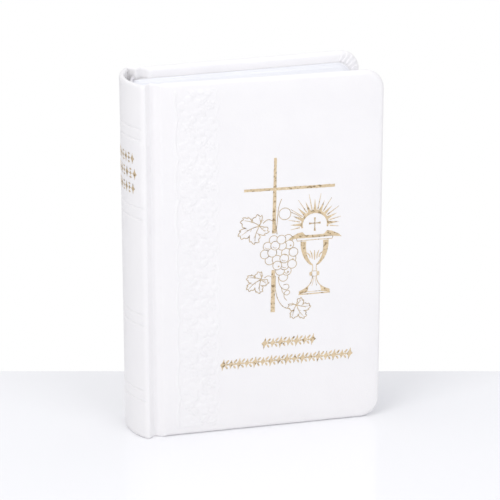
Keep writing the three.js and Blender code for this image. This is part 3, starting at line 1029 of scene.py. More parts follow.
@dataclass
class LeafSlab:
    """A flat piece of paper or foam with rounded fore-edge corners, or a stack of leaves.

    place turns x, a share of the thickness and z into book millimetres.
    """

    left: float
    right: float
    low: float
    high: float
    corner: float
    place: Callable[[np.ndarray, float, np.ndarray], np.ndarray]
    dense_to: float = 12.0  # its grid is dense up to here, where it bends
    levels: int = 1  # leaves that show on its edges
    ragged: float = 0.0  # how unevenly they end
    groove: float = 0.0  # how deep the edge goes in between two of them
    back_round: float = 0.0  # how far its back edge is rounded
    rows: int = 7
    seed: int = 0
    thickness: float = 1.0  # for the UV of its edges

    def grid(self) -> tuple[np.ndarray, np.ndarray]:
        """The grid of one face.

        Returns:
            x and z of its points.
        """
        straight = self.right - self.corner
        dense = np.linspace(self.left, self.dense_to, 15)
        plain = np.linspace(self.dense_to, straight, 8)[1:]
        arc = straight + self.corner * np.sin(np.linspace(0.0, math.pi / 2.0, 11)[1:])
        x = np.concatenate([dense, plain, arc])
        over = np.clip(x - straight, 0.0, self.corner)
        drop = self.corner - np.sqrt(np.maximum(self.corner**2 - over**2, 0.0))
        share = np.linspace(0.0, 1.0, self.rows)[:, None]
        z = (self.low + drop) * (1.0 - share) + (self.high - drop) * share
        return np.broadcast_to(x, z.shape).copy(), z

    def build(self) -> Solid:
        """Builds both faces and the edges between them.

        Returns:
            The closed solid, with finish 0 on its faces and 1 on its edges.
        """
        draw = random.Random(self.seed)
        x, z = self.grid()
        rows, columns = x.shape
        index = np.arange(rows * columns).reshape(rows, columns)
        tail, fore = index[0, :-1], index[:-1, -1]
        head, back = index[-1, 1:][::-1], index[1:, 0][::-1]
        path = np.concatenate([tail, fore, head, back])
        px, pz = x.reshape(-1)[path], z.reshape(-1)[path]
        way = np.zeros((len(path), 2))
        way[: len(tail)] = (0.0, -1.0)
        way[len(tail) : len(tail) + len(fore)] = (1.0, 0.0)
        way[len(tail) + len(fore) : -len(back)] = (0.0, 1.0)
        way[-len(back) :] = (-1.0, 0.0)
        straight = self.right - self.corner
        for k in range(len(path)):
            if px[k] > straight + 1e-9 and self.corner > 0.0 and abs(way[k, 0]) < 0.5:
                centre = self.low + self.corner if way[k, 1] < 0 else self.high - self.corner
                vector = np.array([px[k] - straight, pz[k] - centre])
                way[k] = vector / max(np.linalg.norm(vector), 1e-9)
        is_back = px < self.left + 1e-9
        steps = 2 * self.levels
        points = [self.place(x.reshape(-1), 0.0, z.reshape(-1))]
        uv = [np.stack([x.reshape(-1), z.reshape(-1)], axis=-1)]
        run = np.concatenate([[0.0], np.cumsum(np.hypot(np.diff(px), np.diff(pz)))])
        rings = []
        start = rows * columns
        for k in range(steps + 1):
            share = k / steps
            inset = self.groove if k % 2 == 0 else 0.0
            inset += draw.random() * self.ragged
            inset = np.where(is_back, self.back_round * (1.0 - math.sin(math.pi * share)), inset)
            ex, ez = px - way[:, 0] * inset, pz - way[:, 1] * inset
            if k in (0, steps):
                gx, gz = x.reshape(-1).copy(), z.reshape(-1).copy()
                gx[path], gz[path] = ex, ez
                lid = self.place(gx, share, gz)
                if k == 0:
                    points[0] = lid
                else:
                    points.append(lid)
                    uv.append(np.stack([gx, gz], axis=-1))
                    last = start + index.reshape(-1)
                    start += rows * columns
            points.append(self.place(ex, share, ez))
            uv.append(np.stack([run, np.full(len(run), share * self.thickness)], axis=-1))
            rings.append(start + np.arange(len(path)))
            start += len(path)
        face = grid_quads(rows, columns)
        last_quads = last[face][:, ::-1]
        walls = []
        for lower, upper in zip(rings[:-1], rings[1:]):
            n_lower, n_upper = np.roll(lower, -1), np.roll(upper, -1)
            walls.append(np.stack([n_lower, lower, upper, n_upper], axis=-1))
        walls = np.concatenate(walls)
        faces = face.tolist() + walls.tolist() + last_quads.tolist()
        finish = [0] * len(face) + [1] * len(walls) + [0] * len(last_quads)
        solid = Solid(np.concatenate(points), faces, np.concatenate(uv), finish)
        return weld(solid)


def weld(solid: Solid) -> Solid:
    """The same solid with points at one place made one, which keep the first one's UV.

    Args:
        solid: the solid with doubled points.

    Returns:
        The welded solid.
    """
    key = np.round(solid.points, 5)
    _, first, back = np.unique(key, axis=0, return_index=True, return_inverse=True)
    back = back.reshape(-1)
    faces = []
    finish = []
    for face, number in zip(solid.faces, solid.finish or [0] * len(solid.faces)):
        turned = [int(back[v]) for v in face]
        short = [v for k, v in enumerate(turned) if v != turned[k - 1]]
        if len(short) > 2:
            faces.append(short)
            finish.append(number)
    return Solid(solid.points[first], faces, solid.uv[first], finish)


def turned_over(solid: Solid, over: bool) -> Solid:
    """The same solid, with every face turned over where over is True.

    Args:
        solid: the solid.
        over: True to turn its faces over.

    Returns:
        That solid.
    """
    if over:
        solid.faces = [face[::-1] for face in solid.faces]
    return solid


@dataclass
class Cover:
    """One cover: leatherette over padding and board, with its pastedown."""

    side: Side
    palette: Palette
    lace: LaceBand | None = None
    pad_left: float = 8.6
    pad_inset: float = 2.2
    pad_depth: tuple = (0.62, 1.18)
    pad_crown: float = 0.22  # how far the foam falls off towards its edges
    pad_crown_reach: float = 6.0
    pad_fill: float = 0.8
    paper: float = 0.14
    paste_depth: float = 3.28
    paste_dip: float = 0.10  # the pasted leaf lies this much deeper in the joint
    paste_corner: float = 6.0
    flyleaf_half: float = 9.17  # outer face of the free leaf from the book's middle
    flyleaf_axis: float = 9.14
    flyleaf_paper: float = 0.16
    paper_left: float = 4.2  # where both leaves of the endpaper begin
    skin_bend: tuple = (1.2, 6.9)
    paste_bend: tuple = (3.2, 6.9)
    flyleaf_bend_end: float = 10.0

    @property
    def body(self) -> str:
        """The frame's body that this cover is."""
        return f"{self.side.word}_cover"

    def bend(self, piece: bpy.types.Object, start: float, end: float) -> None:
        """Bakes a piece's transform in place; the points at start and end along x are worked out but not
        used.
        """
        y = self.side.value * PLAN.half
        PLAN.spot(start, y, 0.0)
        PLAN.spot(end, y, 0.0)
        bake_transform(piece)

    def build_skin(self) -> None:
        """The leatherette."""
        solid = CoverSkin(self.side, self.lace).build()
        piece = make_piece(f"{self.side.word}_skin", solid, [self.palette.leatherette], 60.0)
        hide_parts(f"{self.side.word}_leatherette")
        self.bend(piece, *self.skin_bend)

    def build_padding(self) -> None:
        """The crowned foam under the leatherette."""
        top, bottom = self.pad_depth

        def place(x: np.ndarray, share: float, z: np.ndarray) -> np.ndarray:
            """Where a point of the foam lies.

            Args:
                x: distances from the spine.
                share: 0 on one face to 1 on the other.
                z: heights.

            Returns:
                The places in book millimetres.
            """
            sides = np.minimum(x - self.pad_left, PLAN.width - self.pad_inset - x)
            edge = np.minimum(sides, np.minimum(z, PLAN.height - z))
            crown = self.pad_crown * (1.0 - smooth(edge, 0.0, self.pad_crown_reach))
            return PLAN.on_cover(self.side, x, top + crown + (bottom - top - crown) * share, z)

        low, right = self.pad_inset, PLAN.width - self.pad_inset
        slab = LeafSlab(
            self.pad_left, right, low, PLAN.height - low, PLAN.corner - low, place,
            dense_to=14.0, levels=2, groove=0.12, rows=25,
        )
        solid = turned_over(slab.build(), self.side is Side.BACK)
        piece = make_piece(f"{self.side.word}_foam", solid, [self.palette.foam, self.palette.foam])
        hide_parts(f"{self.side.word}_padding")
        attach(piece, self.body)

    def build_pastedown(self) -> None:
        """The endpaper's pasted leaf, which crosses the joint to the block."""

        def place(x: np.ndarray, share: float, z: np.ndarray) -> np.ndarray:
            """Where a point of the pasted leaf lies."""
            dip = self.paste_dip * (1.0 - smooth(x, self.paper_left, 7.6))
            return PLAN.on_cover(self.side, x, self.paste_depth + self.paper * share + dip, z)

        low, high = PLAN.square, PLAN.height - PLAN.square
        slab = LeafSlab(
            self.paper_left, PLAN.leaf_right, low, high, self.paste_corner, place,
            rows=5, thickness=self.paper,
        )
        solid = turned_over(slab.build(), self.side is Side.BACK)
        paper = self.palette.endpaper
        piece = make_piece(f"{self.side.word}_pasted_leaf", solid, [paper, paper])
        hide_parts(f"{self.side.word}_pastedown")
        self.bend(piece, *self.paste_bend)

    def build_flyleaf(self) -> None:
        """The endpaper's free leaf."""
        s = self.side.value
        outer, thick = self.flyleaf_half, self.flyleaf_paper

        def place(x: np.ndarray, share: float, z: np.ndarray) -> np.ndarray:
            """Where a point of the free leaf lies."""
            y = s * (PLAN.fanned(PLAN.block_half, x) + outer - PLAN.block_half - thick * share)
            return np.stack(np.broadcast_arrays(x, y, z), axis=-1)

        low, high = PLAN.square, PLAN.height - PLAN.square
        slab = LeafSlab(
            self.paper_left, PLAN.leaf_right, low, high, PLAN.leaf_corner, place, rows=5, thickness=thick
        )
        solid = turned_over(slab.build(), self.side is Side.BACK)
        paper = self.palette.endpaper
        piece = make_piece(f"{self.side.word}_free_leaf", solid, [paper, paper])
        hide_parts(f"{self.side.word}_flyleaf")
        y = s * self.flyleaf_axis
        start, end = PLAN.spot(PLAN.gutter, y, 0.0), PLAN.spot(self.flyleaf_bend_end, y, 0.0)
        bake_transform(piece)

    def build(self) -> None:
        """Every piece of the cover."""
        self.build_skin()
        self.build_padding()
        self.build_pastedown()
        self.build_flyleaf()
        board = frame["nodes"][f"{self.side.word}_board"]
        board.data.materials.clear()
        board.data.materials.append(self.palette.greyboard)


# ---------------------------------------------------------------- spine


@dataclass
class Spine:
    """The rounded spine: leatherette with blind-tooled lines, and what lies behind it."""

    palette: Palette
    leather: float = 0.45
    wall: float = 1.75
    turn_in: float = 11.0
    lines: tuple = (112.4, 83.9, 44.7, 16.2)  # middle of each pair of tooled lines
    pair: float = 4.0
    line_width: float = 0.40
    line_depth: float = 0.27
    line_reach: float = 3.2  # the grid is dense this far either side of a pair
    lap: float = 1.5  # how far along each cover it reaches
    cap: float = 0.12  # how far both ends swell
    flat_half: float = 12.5  # tooling and swelling stop at this y
    bead: float = 0.62  # pitch of the headbands' winding
    thread_lay: float = 1.1  # length of one twist of the two strands
    strand: float = 0.075  # radius of a strand

    def section(self) -> np.ndarray:
        """The outer face from the front joint round to the back one.

        Returns:
            x and y of its points.
        """
        flank = np.array([self.lap, 1.3, 1.1, 0.9])
        laid = PLAN.on_cover(Side.BACK, flank, PLAN.groove(flank), 0.0)[:, :2]
        shoulder = np.array([[0.52, 12.72], [0.22, 12.60], [-0.06, 12.44], [-0.30, 12.27]])
        y = np.linspace(12.08, 0.0, 17)
        arc = np.stack([PLAN.spine_centre - np.sqrt(PLAN.spine_radius**2 - y**2), y], axis=-1)
        back = np.concatenate([laid, shoulder, arc])
        front = back[:-1].copy()
        front[:, 1] *= -1.0
        return np.concatenate([front, back[::-1]])

    def rows(self) -> np.ndarray:
        """The grid's rows, dense at each tooled line.

        Returns:
            Their heights.
        """
        rows = list(np.linspace(1.2, PLAN.height - 1.2, 90))
        for middle in self.lines:
            for step in np.linspace(-self.line_reach, self.line_reach, 41):
                rows.append(middle + step)
        rows = np.unique(np.round(rows, 3))
        return rows[np.concatenate([[True], np.diff(rows) > 0.05])]

    def tooling(self, z: np.ndarray) -> np.ndarray:
        """Depth of the tooled lines at z.

        Args:
            z: heights.

        Returns:
            The depth at each.
        """
        total = np.zeros_like(z)
        for middle in self.lines:
            for sign in (-1.0, 1.0):
                total += np.exp(-(((z - middle - sign * self.pair / 2.0) / self.line_width) ** 2))
        return self.line_depth * np.minimum(total, 1.0)

    def build_skin(self) -> None:
        """The leatherette with its tooled lines and turned-in ends."""
        section = self.section()
        count = len(section)
        along = np.gradient(section, axis=0)
        normal = np.stack([-along[:, 1], along[:, 0]], axis=-1)
        normal /= np.linalg.norm(normal, axis=1, keepdims=True)
        run = np.concatenate([[0.0], np.cumsum(np.linalg.norm(np.diff(section, axis=0), axis=1))])
        run -= run.mean()
        thick = PLAN.joint + (self.wall - PLAN.joint) * smooth(-section[:, 0], -0.6, 1.2)
        rows = self.rows()
        fade = smooth(self.flat_half - np.abs(section[:, 1]), 0.0, 0.8)

        def laid(inward: np.ndarray, z: np.ndarray) -> np.ndarray:
            """Points of one row, inward millimetres below the outer face at height z."""
            xy = section - normal * np.asarray(inward)[..., None]
            return np.concatenate([xy, np.broadcast_to(z, (count,))[:, None]], axis=1)

        points, uv = [], []
        steps = 8
        insides = (1.2, 3.0, 6.0, self.turn_in)
        first = 0.2 - insides[0]
        for inside in insides[::-1]:
            points.append(laid(thick, thick / 2.0 + inside + first))
            uv.append(np.stack([run, np.full(count, -thick.mean() * 1.6 - inside)], axis=-1))
        for k in range(steps, 0, -1):
            phi = math.pi * k / steps
            points.append(laid(thick / 2.0 * (1.0 - math.cos(phi)), thick / 2.0 * (1.0 - math.sin(phi))))
            uv.append(np.stack([run, np.full(count, -phi * 0.8)], axis=-1))
        for z in rows:
            cap = self.cap * (math.exp(-(z - 1.0) / 1.2) + math.exp(-(PLAN.height - 1.0 - z) / 1.2))
            points.append(laid(self.tooling(np.array([z]))[0] * fade - cap * fade, z))
            uv.append(np.stack([run, np.full(count, z)], axis=-1))
        for k in range(1, steps + 1):
            phi = math.pi * k / steps
            points.append(
                laid(thick / 2.0 * (1.0 - math.cos(phi)), PLAN.height - thick / 2.0 * (1.0 - math.sin(phi)))
            )
            uv.append(np.stack([run, np.full(count, PLAN.height + phi * 0.8)], axis=-1))
        for inside in insides:
            points.append(laid(thick, PLAN.height - (thick / 2.0 + inside + first)))
            uv.append(np.stack([run, np.full(count, PLAN.height + thick.mean() * 1.6 + inside)], axis=-1))
        flat = np.concatenate(points)
        quads = grid_quads(len(points), count)
        middle = flat[quads].mean(axis=1)
        a, b, c, d = (flat[quads[:, k]] for k in range(4))
        facing = np.cross(c - a, d - b)
        outer = np.argmin(middle[:, 0] + np.abs(middle[:, 2] - PLAN.height / 2.0))
        if facing[outer, 0] > 0:
            quads = quads[:, ::-1]
        solid = shell(flat, quads, np.concatenate(uv), self.leather)
        piece = make_piece("spine_skin", solid, [self.palette.leatherette], 60.0)
        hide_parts("spine_leatherette")
        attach(piece, "spine")

    def build_band(self, end: End) -> None:
        """A headband: a core wound with thread, beaded along its front edge.

        Args:
            end: the head or the tail of the book.
        """
        node = "headband" if end is End.HEAD else "tailband"
        low, high = (np.array(v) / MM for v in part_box(node))
        middle_z = (low[2] + high[2]) / 2.0
        half_z = (high[2] - low[2]) / 2.0
        half_y = (high[1] - low[1]) / 2.0
        radius = PLAN.spine_centre - (low[0] - PLAN.offset) - 0.50
        reach = math.asin(min(0.999, (half_y - 0.2) / radius))
        turn = np.linspace(-reach, reach, 260)
        path = np.stack(
            [PLAN.spine_centre - radius * np.cos(turn), radius * np.sin(turn), np.full_like(turn, middle_z)],
            axis=-1,
        )
        across = np.stack([-np.cos(turn), np.sin(turn), np.zeros_like(turn)], axis=-1)
        up = np.broadcast_to(np.array([0.0, 0.0, 1.0]), path.shape)
        sides = 14
        round_turn = np.linspace(0.0, 2.0 * math.pi, sides, endpoint=False)
        run = radius * turn
        bead = np.abs(np.sin(math.pi * run[:, None] / self.bead + round_turn[None, :] * 0.5)) ** 0.7
        swell = 0.80 + 0.17 * bead
        tips = smooth(reach - np.abs(turn), 0.0, 0.03)[:, None] * 0.5 + 0.5
        radii = np.stack([0.52 * swell * tips, half_z * 0.98 * swell * tips], axis=-1)
        solid = tube(path, across, up, radii, sides)
        piece = make_piece(f"{node}_wound", solid, [self.palette.band])
        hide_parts(node)
        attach(piece, "spine")

    def build_thread(self, number: int) -> None:
        """One row of sewing thread across the folds: two strands laid together.

        Args:
            number: 1 to 4, as in the names of the frame's nodes.
        """
        node = f"sewing_thread_{number}"
        low, high = (np.array(v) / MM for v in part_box(node))
        half_y = (high[1] - low[1]) / 2.0
        radius = PLAN.spine_centre - (low[0] - PLAN.offset) - 0.16
        reach = math.asin((half_y - 0.1) / radius)
        turn = np.linspace(-reach, reach, 150)
        strands = []
        for phase in (0.0, math.pi):
            twist = turn * radius / self.thread_lay * 2.0 * math.pi + phase
            r = radius + 0.07 * np.cos(twist)
            z = (low[2] + high[2]) / 2.0 + 0.07 * np.sin(twist)
            path = np.stack([PLAN.spine_centre - r * np.cos(turn), r * np.sin(turn), z], axis=-1)
            across = np.stack([-np.cos(turn), np.sin(turn), np.zeros_like(turn)], axis=-1)
            up = np.broadcast_to(np.array([0.0, 0.0, 1.0]), path.shape)
            strands.append(tube(path, across, up, np.full((len(turn), 6, 2), self.strand), 6))
        piece = make_piece(f"{node}_laid", Solid.joined(strands), [self.palette.thread])
        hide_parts(node)
        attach(piece, "spine")

    def build(self) -> None:
        """Every piece of the spine."""
        self.build_skin()
        for end in End:
            self.build_band(end)
        for number in range(1, 5):
            self.build_thread(number)
        for node, finish in (
            ("spine_inlay", self.palette.greyboard),
            ("spine_lining", self.palette.kraft),
            ("spine_mull", self.palette.gauze),
        ):
            data = frame["nodes"][node].data
            data.materials.clear()
            data.materials.append(finish)


# ---------------------------------------------------------------- leaves


@dataclass
class TextBlock:
    """The sewn sections of leaves, each one piece."""

    palette: Palette
    gap: float = 0.018
    leaves: int = 8  # that show on the edges of a section
    section_thickness: float = 1.48
    bend_end: float = 11.0

    def build_section(self, number: int) -> None:
        """One section of leaves.

        Args:
            number: 1 at the front to 12 at the back.
        """
        half_count = PLAN.sections / 2.0
        low_share = (number - 1 - half_count) / half_count
        high_share = (number - half_count) / half_count
        middle = abs(low_share + high_share) / 2.0 * PLAN.block_half
        left = PLAN.fold_back(middle) + 0.05
        right = PLAN.fold_back(middle) + PLAN.leaf_width

        def place(x: np.ndarray, share: float, z: np.ndarray) -> np.ndarray:
            """Where a point of the section lies.

            Args:
                x: distances from the spine.
                share: 0 on one face to 1 on the other.
                z: heights.

            Returns:
                The places in book millimetres.
            """
            whole = PLAN.fanned(PLAN.block_half, x)
            y0, y1 = low_share * whole + self.gap, high_share * whole - self.gap
            return np.stack(np.broadcast_arrays(x, y0 + (y1 - y0) * share, z), axis=-1)

        slab = LeafSlab(
            left, right, PLAN.square, PLAN.height - PLAN.square, PLAN.leaf_corner, place,
            levels=self.leaves, ragged=0.05, groove=0.05, back_round=0.55, rows=4, seed=number,
            thickness=self.section_thickness,
        )
        body = f"section_{number:02d}"
        piece = make_piece(f"{body}_pages", slab.build(), [self.palette.page, self.palette.edges], 50.0)
        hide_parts(f"{body}_fold", f"{body}_leaves")
        y = (number - 0.5 - half_count) / half_count * PLAN.turning_half
        PLAN.spot(PLAN.gutter, y, 0.0)
        PLAN.spot(self.bend_end, y, 0.0)
        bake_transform(piece)

    def build(self) -> None:
        """Every section."""
        for number in range(1, PLAN.sections + 1):
            self.build_section(number)


# ---------------------------------------------------------------- stamping


class Stamp:
    """Collects the foil shapes of one stamped motif, drawn in the plane and laid on a surface."""

    PROUD = 0.035  # how far the lowest shape stands off the surface
    STEP = 0.0015  # how much further each next one does, so that none lie in one plane
    SUNK = 0.09  # how far every shape reaches into the surface

    def __init__(self, surface: Callable[[np.ndarray, np.ndarray, np.ndarray], np.ndarray]) -> None:
        """Starts an empty motif on a surface, which turns across, up and depth into book millimetres."""
        self.surface = surface
        self.parts: list[Solid] = []

    def prism(
        self, outline: np.ndarray, triangles: Sequence[Sequence[int]], loops: Sequence[Sequence[int]]
    ) -> None:
        """Adds a raised shape.

        Args:
            outline: its points in the plane.
            triangles: faces that fill it.
            loops: its borders, as point numbers in order.
        """
        proud = self.PROUD + self.STEP * (len(self.parts) % 9)
        count = len(outline)
        top = self.surface(outline[:, 0], outline[:, 1], np.full(count, -proud))
        base = self.surface(outline[:, 0], outline[:, 1], np.full(count, self.SUNK))
        faces = [list(t) for t in triangles]
        faces += [[v + count for v in t[::-1]] for t in triangles]
        for loop in loops:
            for k, a in enumerate(loop):
                b = loop[(k + 1) % len(loop)]
                faces.append([b, a, a + count, b + count])
        uv = np.concatenate([outline, outline])
        self.parts.append(Solid(np.concatenate([top, base]), faces, uv))

    def fill(self, outline: Sequence[tuple]) -> None:
        """Adds a filled shape from its outline.

        Args:
            outline: its points in order.
        """
        points = np.array(outline, float)
        following = np.roll(points, -1, axis=0)
        if np.sum(points[:, 0] * following[:, 1] - following[:, 0] * points[:, 1]) < 0:
            points = points[::-1]
        flat = [Vector((float(x), float(y), 0.0)) for x, y in points]
        triangles = []
        for t in tessellate_polygon([flat]):
            a, b, c = (points[v] for v in t)
            turned = (b[0] - a[0]) * (c[1] - a[1]) - (b[1] - a[1]) * (c[0] - a[0])
            triangles.append(list(t) if turned > 0 else list(t)[::-1])
        self.prism(points, triangles, [list(range(len(points)))])

    def stroke(self, path: Sequence[tuple], width: float | Sequence[float], closed: bool = False) -> None:
        """Adds a drawn line.

        Args:
            path: its points.
            width: its width, or one width for each point.
            closed: True where it comes back to its start.
        """
        points = np.array(path, float)
        count = len(points)
        half = np.broadcast_to(np.asarray(width, float), (count,)) / 2.0
        if closed:
            along = np.roll(points, -1, axis=0) - np.roll(points, 1, axis=0)
        else:
            along = np.gradient(points, axis=0)
        along /= np.maximum(np.linalg.norm(along, axis=1, keepdims=True), 1e-9)
        aside = np.stack([-along[:, 1], along[:, 0]], axis=-1) * half[:, None]
        outline = np.concatenate([points - aside, points + aside])
        quads = []
        for k in range(count if closed else count - 1):
            n = (k + 1) % count
            quads.append([k, n, n + count, k + count])
        if closed:
            loops = [list(range(count)), [k + count for k in range(count)][::-1]]
        else:
            loops = [list(range(count)) + [k + count for k in range(count)][::-1]]
        self.prism(outline, quads, loops)

    def circle(self, at: tuple, radius: float, width: float, start: float = 0.0, end: float = 360.0) -> None:
        """Adds a drawn circle or an arc of one, from start to end in degrees.

        Args:
            at: its middle.
            radius: its radius.
            width: the line's width.
            start: where the arc starts, in degrees.
            end: where it ends.
        """
        whole = end - start >= 359.9
        count = max(8, int(radius * 14 * (end - start) / 360.0) + 6)
        turn = np.radians(np.linspace(start, end, count, endpoint=not whole))
        self.stroke(
            [(at[0] + radius * math.cos(t), at[1] + radius * math.sin(t)) for t in turn], width, closed=whole
        )

    def disc(self, at: tuple, radius: float) -> None:
        """Adds a filled dot."""
        turn = np.linspace(0.0, 2.0 * math.pi, 12, endpoint=False)
        self.fill([(at[0] + radius * math.cos(t), at[1] + radius * math.sin(t)) for t in turn])

    def lozenge(self, at: tuple, half_width: float, half_height: float, lean: float = 0.0) -> None:
        """Adds a filled lozenge with slightly hollow sides.

        Args:
            at: its middle.
            half_width: half its width.
            half_height: half its height.
            lean: how far it leans, as a share of height.
        """
        corners = [(half_width, 0.0), (0.0, half_height), (-half_width, 0.0), (0.0, -half_height)]
        outline = []
        for k, a in enumerate(corners):
            b = corners[(k + 1) % 4]
            for t in (0.0, 0.25, 0.5, 0.75):
                pull = 1.0 - 0.28 * math.sin(math.pi * t)
                x, y = (a[0] + (b[0] - a[0]) * t) * pull, (a[1] + (b[1] - a[1]) * t) * pull
                outline.append((at[0] + x + y * lean, at[1] + y))
        self.fill(outline)

    def finish(self, node: str, body: str, foil: bpy.types.Material) -> None:
        """Makes the piece, in place of its frame node, on a body.

        Args:
            node: the frame's node that it stands for.
            body: the body that it rides on.
            foil: its finish.
        """
        piece = make_piece(f"{node}_stamped", Solid.joined(self.parts), [foil], 30.0)
        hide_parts(node)
        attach(piece, body)


def curve(points: Sequence[tuple], steps: int = 8) -> list[tuple]:
    """A smooth line through some points.

    Args:
        points: the points it goes through.
        steps: how many pieces between two of them.

    Returns:
        Its points.
    """
    p = np.array([points[0], *points, points[-1]], float)
    line = []
    for k in range(1, len(p) - 2):
        for t in np.linspace(0.0, 1.0, steps, endpoint=False):
            a, b, c, d = p[k - 1], p[k], p[k + 1], p[k + 2]
            square, cube = 2 * a - 5 * b + 4 * c - d, 3 * b - a - 3 * c + d
            v = 0.5 * (2 * b + (c - a) * t + square * t**2 + cube * t**3)
            line.append((float(v[0]), float(v[1])))
    line.append(tuple(float(v) for v in p[-1]))
    return line


@dataclass
class CoverStamping:
    """The gold of the front cover: cross, host with rays, chalice, grapes, vine leaves, ornament rows."""

    palette: Palette
    cross_top: float = 101.0
    cross_bottom: float = 44.0
    host: tuple = (61.2, 75.6)
    line: float = 0.24
    grape: float = 1.62  # radius of one
    grape_pitch: float = 2.62  # from one to the next in a row

    def surface(self, x: np.ndarray, z: np.ndarray, depth: np.ndarray) -> np.ndarray:
        """The front cover's face."""
        return PLAN.on_cover(Side.FRONT, x, depth, z)

    def stamp(self) -> Stamp:
        """An empty motif on the front cover."""
        return Stamp(self.surface)

    def rough_bar(self, start: tuple, end: tuple, widths: tuple, seed: int) -> tuple[list, list]:
        """A straight bar with slightly uneven sides.

        Args:
            start: one end.
            end: the other.
            widths: its width at each end.
            seed: number that its unevenness is drawn from.

        Returns:
            The bar's path and its widths.
        """
        draw = random.Random(seed)
        share = np.linspace(0.0, 1.0, 34)
        across, up = end[0] - start[0], end[1] - start[1]
        upright = abs(up) > abs(across)
        path = []
        for t in share:
            x, z, stray = start[0] + across * t, start[1] + up * t, draw.uniform(-0.04, 0.04)
            path.append((x + stray, z) if upright else (x, z + stray))
        width = [widths[0] + (widths[1] - widths[0]) * t + draw.uniform(-0.09, 0.07) for t in share]
        return path, width

    def build_cross(self) -> None:
        """The tall cross, which the grapes interrupt."""
        upper = self.stamp()
        path, width = self.rough_bar((46.85, self.cross_top), (46.35, 73.4), (0.98, 1.32), 3)
        upper.stroke(path, width)
        path, width = self.rough_bar((35.6, 89.8), (68.4, 89.4), (0.95, 1.10), 5)
        upper.stroke(path, width)
        upper.finish("foil_cross", "front_cover", self.palette.gold)
        foot = self.stamp()
        path, width = self.rough_bar((46.15, 59.8), (46.0, self.cross_bottom), (1.25, 1.55), 7)
        foot.stroke(path, width)
        foot.finish("foil_cross_foot", "front_cover", self.palette.gold)

    def build_host(self) -> None:
        """The host's bright rim with long and short rays, and a small plain cross on the host."""
        cx, cz = self.host
        rays = self.stamp()
        turn = np.radians(np.linspace(-14.0, 194.0, 46))
        rim = [(cx + 4.72 * math.cos(t), cz + 4.72 * math.sin(t)) for t in turn]
        rays.stroke(rim, [0.62 + 0.62 * max(0.0, math.sin(t)) ** 1.5 for t in turn])
        side = math.radians(8.0)
        for k in range(9):
            angle = math.radians(2.0 + 22.0 * k)
            tip = 8.5 + 0.9 * math.sin(angle) + (0.5 if k in (0, 8) else 0.0)
            outline = ((4.75, -side), (6.4, -side * 0.42), (tip, 0.0), (6.4, side * 0.42), (4.75, side))
            rays.fill([(cx + r * math.cos(angle + t), cz + r * math.sin(angle + t)) for r, t in outline])
        for k in range(-1, 9):
            angle = math.radians(13.0 + 22.0 * k)
            start, tip = 5.5, 8.9 + 2.6 * max(0.0, math.sin(angle)) ** 0.7
            rays.stroke(
                [(cx + r * math.cos(angle), cz + r * math.sin(angle)) for r in np.linspace(start, tip, 6)],
                np.linspace(0.42, 0.12, 6),
            )
        rays.finish("foil_host_rays", "front_cover", self.palette.gold)
        mark = self.stamp()
        flared = [0.75, 0.34, 0.34, 0.75]
        mark.stroke([(cx, cz + z) for z in (2.5, 1.0, -1.0, -2.5)], flared)
        mark.stroke([(cx + x, cz + 0.4) for x in (-2.1, -0.9, 0.9, 2.1)], flared)
        mark.finish("foil_host_cross", "front_cover", self.palette.fine_gold)

    def build_chalice(self) -> None:
        """The chalice: rim, bowl with thick sides, stem, knob and flared foot."""
        cx = self.host[0]
        cup = self.stamp()
        rim = (
            (-0.1, 71.7), (3.4, 71.8), (4.5, 73.0), (6.2, 72.7),
            (8.8, 71.4), (9.9, 70.3), (6.6, 70.8), (-0.1, 70.7),
        )
        bowl = ((5.15, 69.5), (4.95, 66.9), (4.05, 63.9), (2.3, 61.4), (0.95, 60.5))
        neck = ((0.75, 60.5), (0.62, 59.3), (0.85, 58.2))
        stem = ((0.65, 56.4), (1.0, 54.6), (1.9, 53.0), (3.6, 51.7), (5.6, 50.8))
        foot = ((2.1, 52.6), (3.6, 51.6), (5.7, 50.7), (5.6, 49.9), (2.6, 50.4))
        knob = ((0.8, 58.0), (1.7, 57.9), (1.85, 57.2), (1.7, 56.5), (0.8, 56.4))
        fold = ((0.28, 55.8), (0.5, 54.2), (0.9, 52.6))
        for s in (-1.0, 1.0):

            def on_side(half: Sequence[tuple], side: float = s) -> list[tuple]:
                """Points on one side, from their distances to the chalice's axis."""
                return [(cx + side * x, z) for x, z in half]

            cup.fill(on_side(rim))
            outer = curve(on_side(bowl))
            thick = np.concatenate([np.linspace(2.1, 1.6, 14), np.linspace(1.5, 0.4, len(outer) - 14)])
            cup.stroke([(x - s * t * 0.5, z) for (x, z), t in zip(outer, thick)], thick)
            cup.stroke(curve(on_side(neck)), 0.26)
            cup.stroke(curve(on_side(stem)), 0.30)
            cup.fill(on_side(foot))
            cup.fill(on_side(knob))
            cup.stroke(curve(on_side(fold)), 0.14)
            cup.stroke(on_side(((6.5, 71.0), (6.65, 70.5), (6.4, 69.95))), 0.22)
        cup.stroke([(cx + x, 69.9 - 0.0024 * x * x) for x in np.linspace(-6.45, 6.45, 16)], 0.24)
        cup.stroke([(cx + x, 71.05) for x in np.linspace(-6.55, 6.55, 16)], 0.20)
        cup.stroke([(cx + x, 49.75) for x in np.linspace(-5.8, 5.8, 14)], 0.42)
        cup.stroke([(cx + x, 50.55) for x in np.linspace(-4.4, 4.4, 12)], 0.18)
        cup.stroke([(cx - 1.0, 58.15), (cx, 58.2), (cx + 1.0, 58.15)], 0.2)
        cup.stroke([(cx - 1.0, 56.25), (cx, 56.2), (cx + 1.0, 56.25)], 0.2)
        for k, (reach, lean) in enumerate(((2.2, -1.9), (3.2, -1.0), (3.7, 0.0), (3.2, 1.0), (2.2, 1.9))):
            base = (cx + lean * 0.85, 62.3 + abs(lean) * 0.45)
            tip = (cx + lean * 1.65, base[1] + reach)
            path = curve([base, (base[0] + lean * 0.15, base[1] + reach * 0.5), tip], 5)
            shares = np.linspace(0.08, 0.98, len(path))
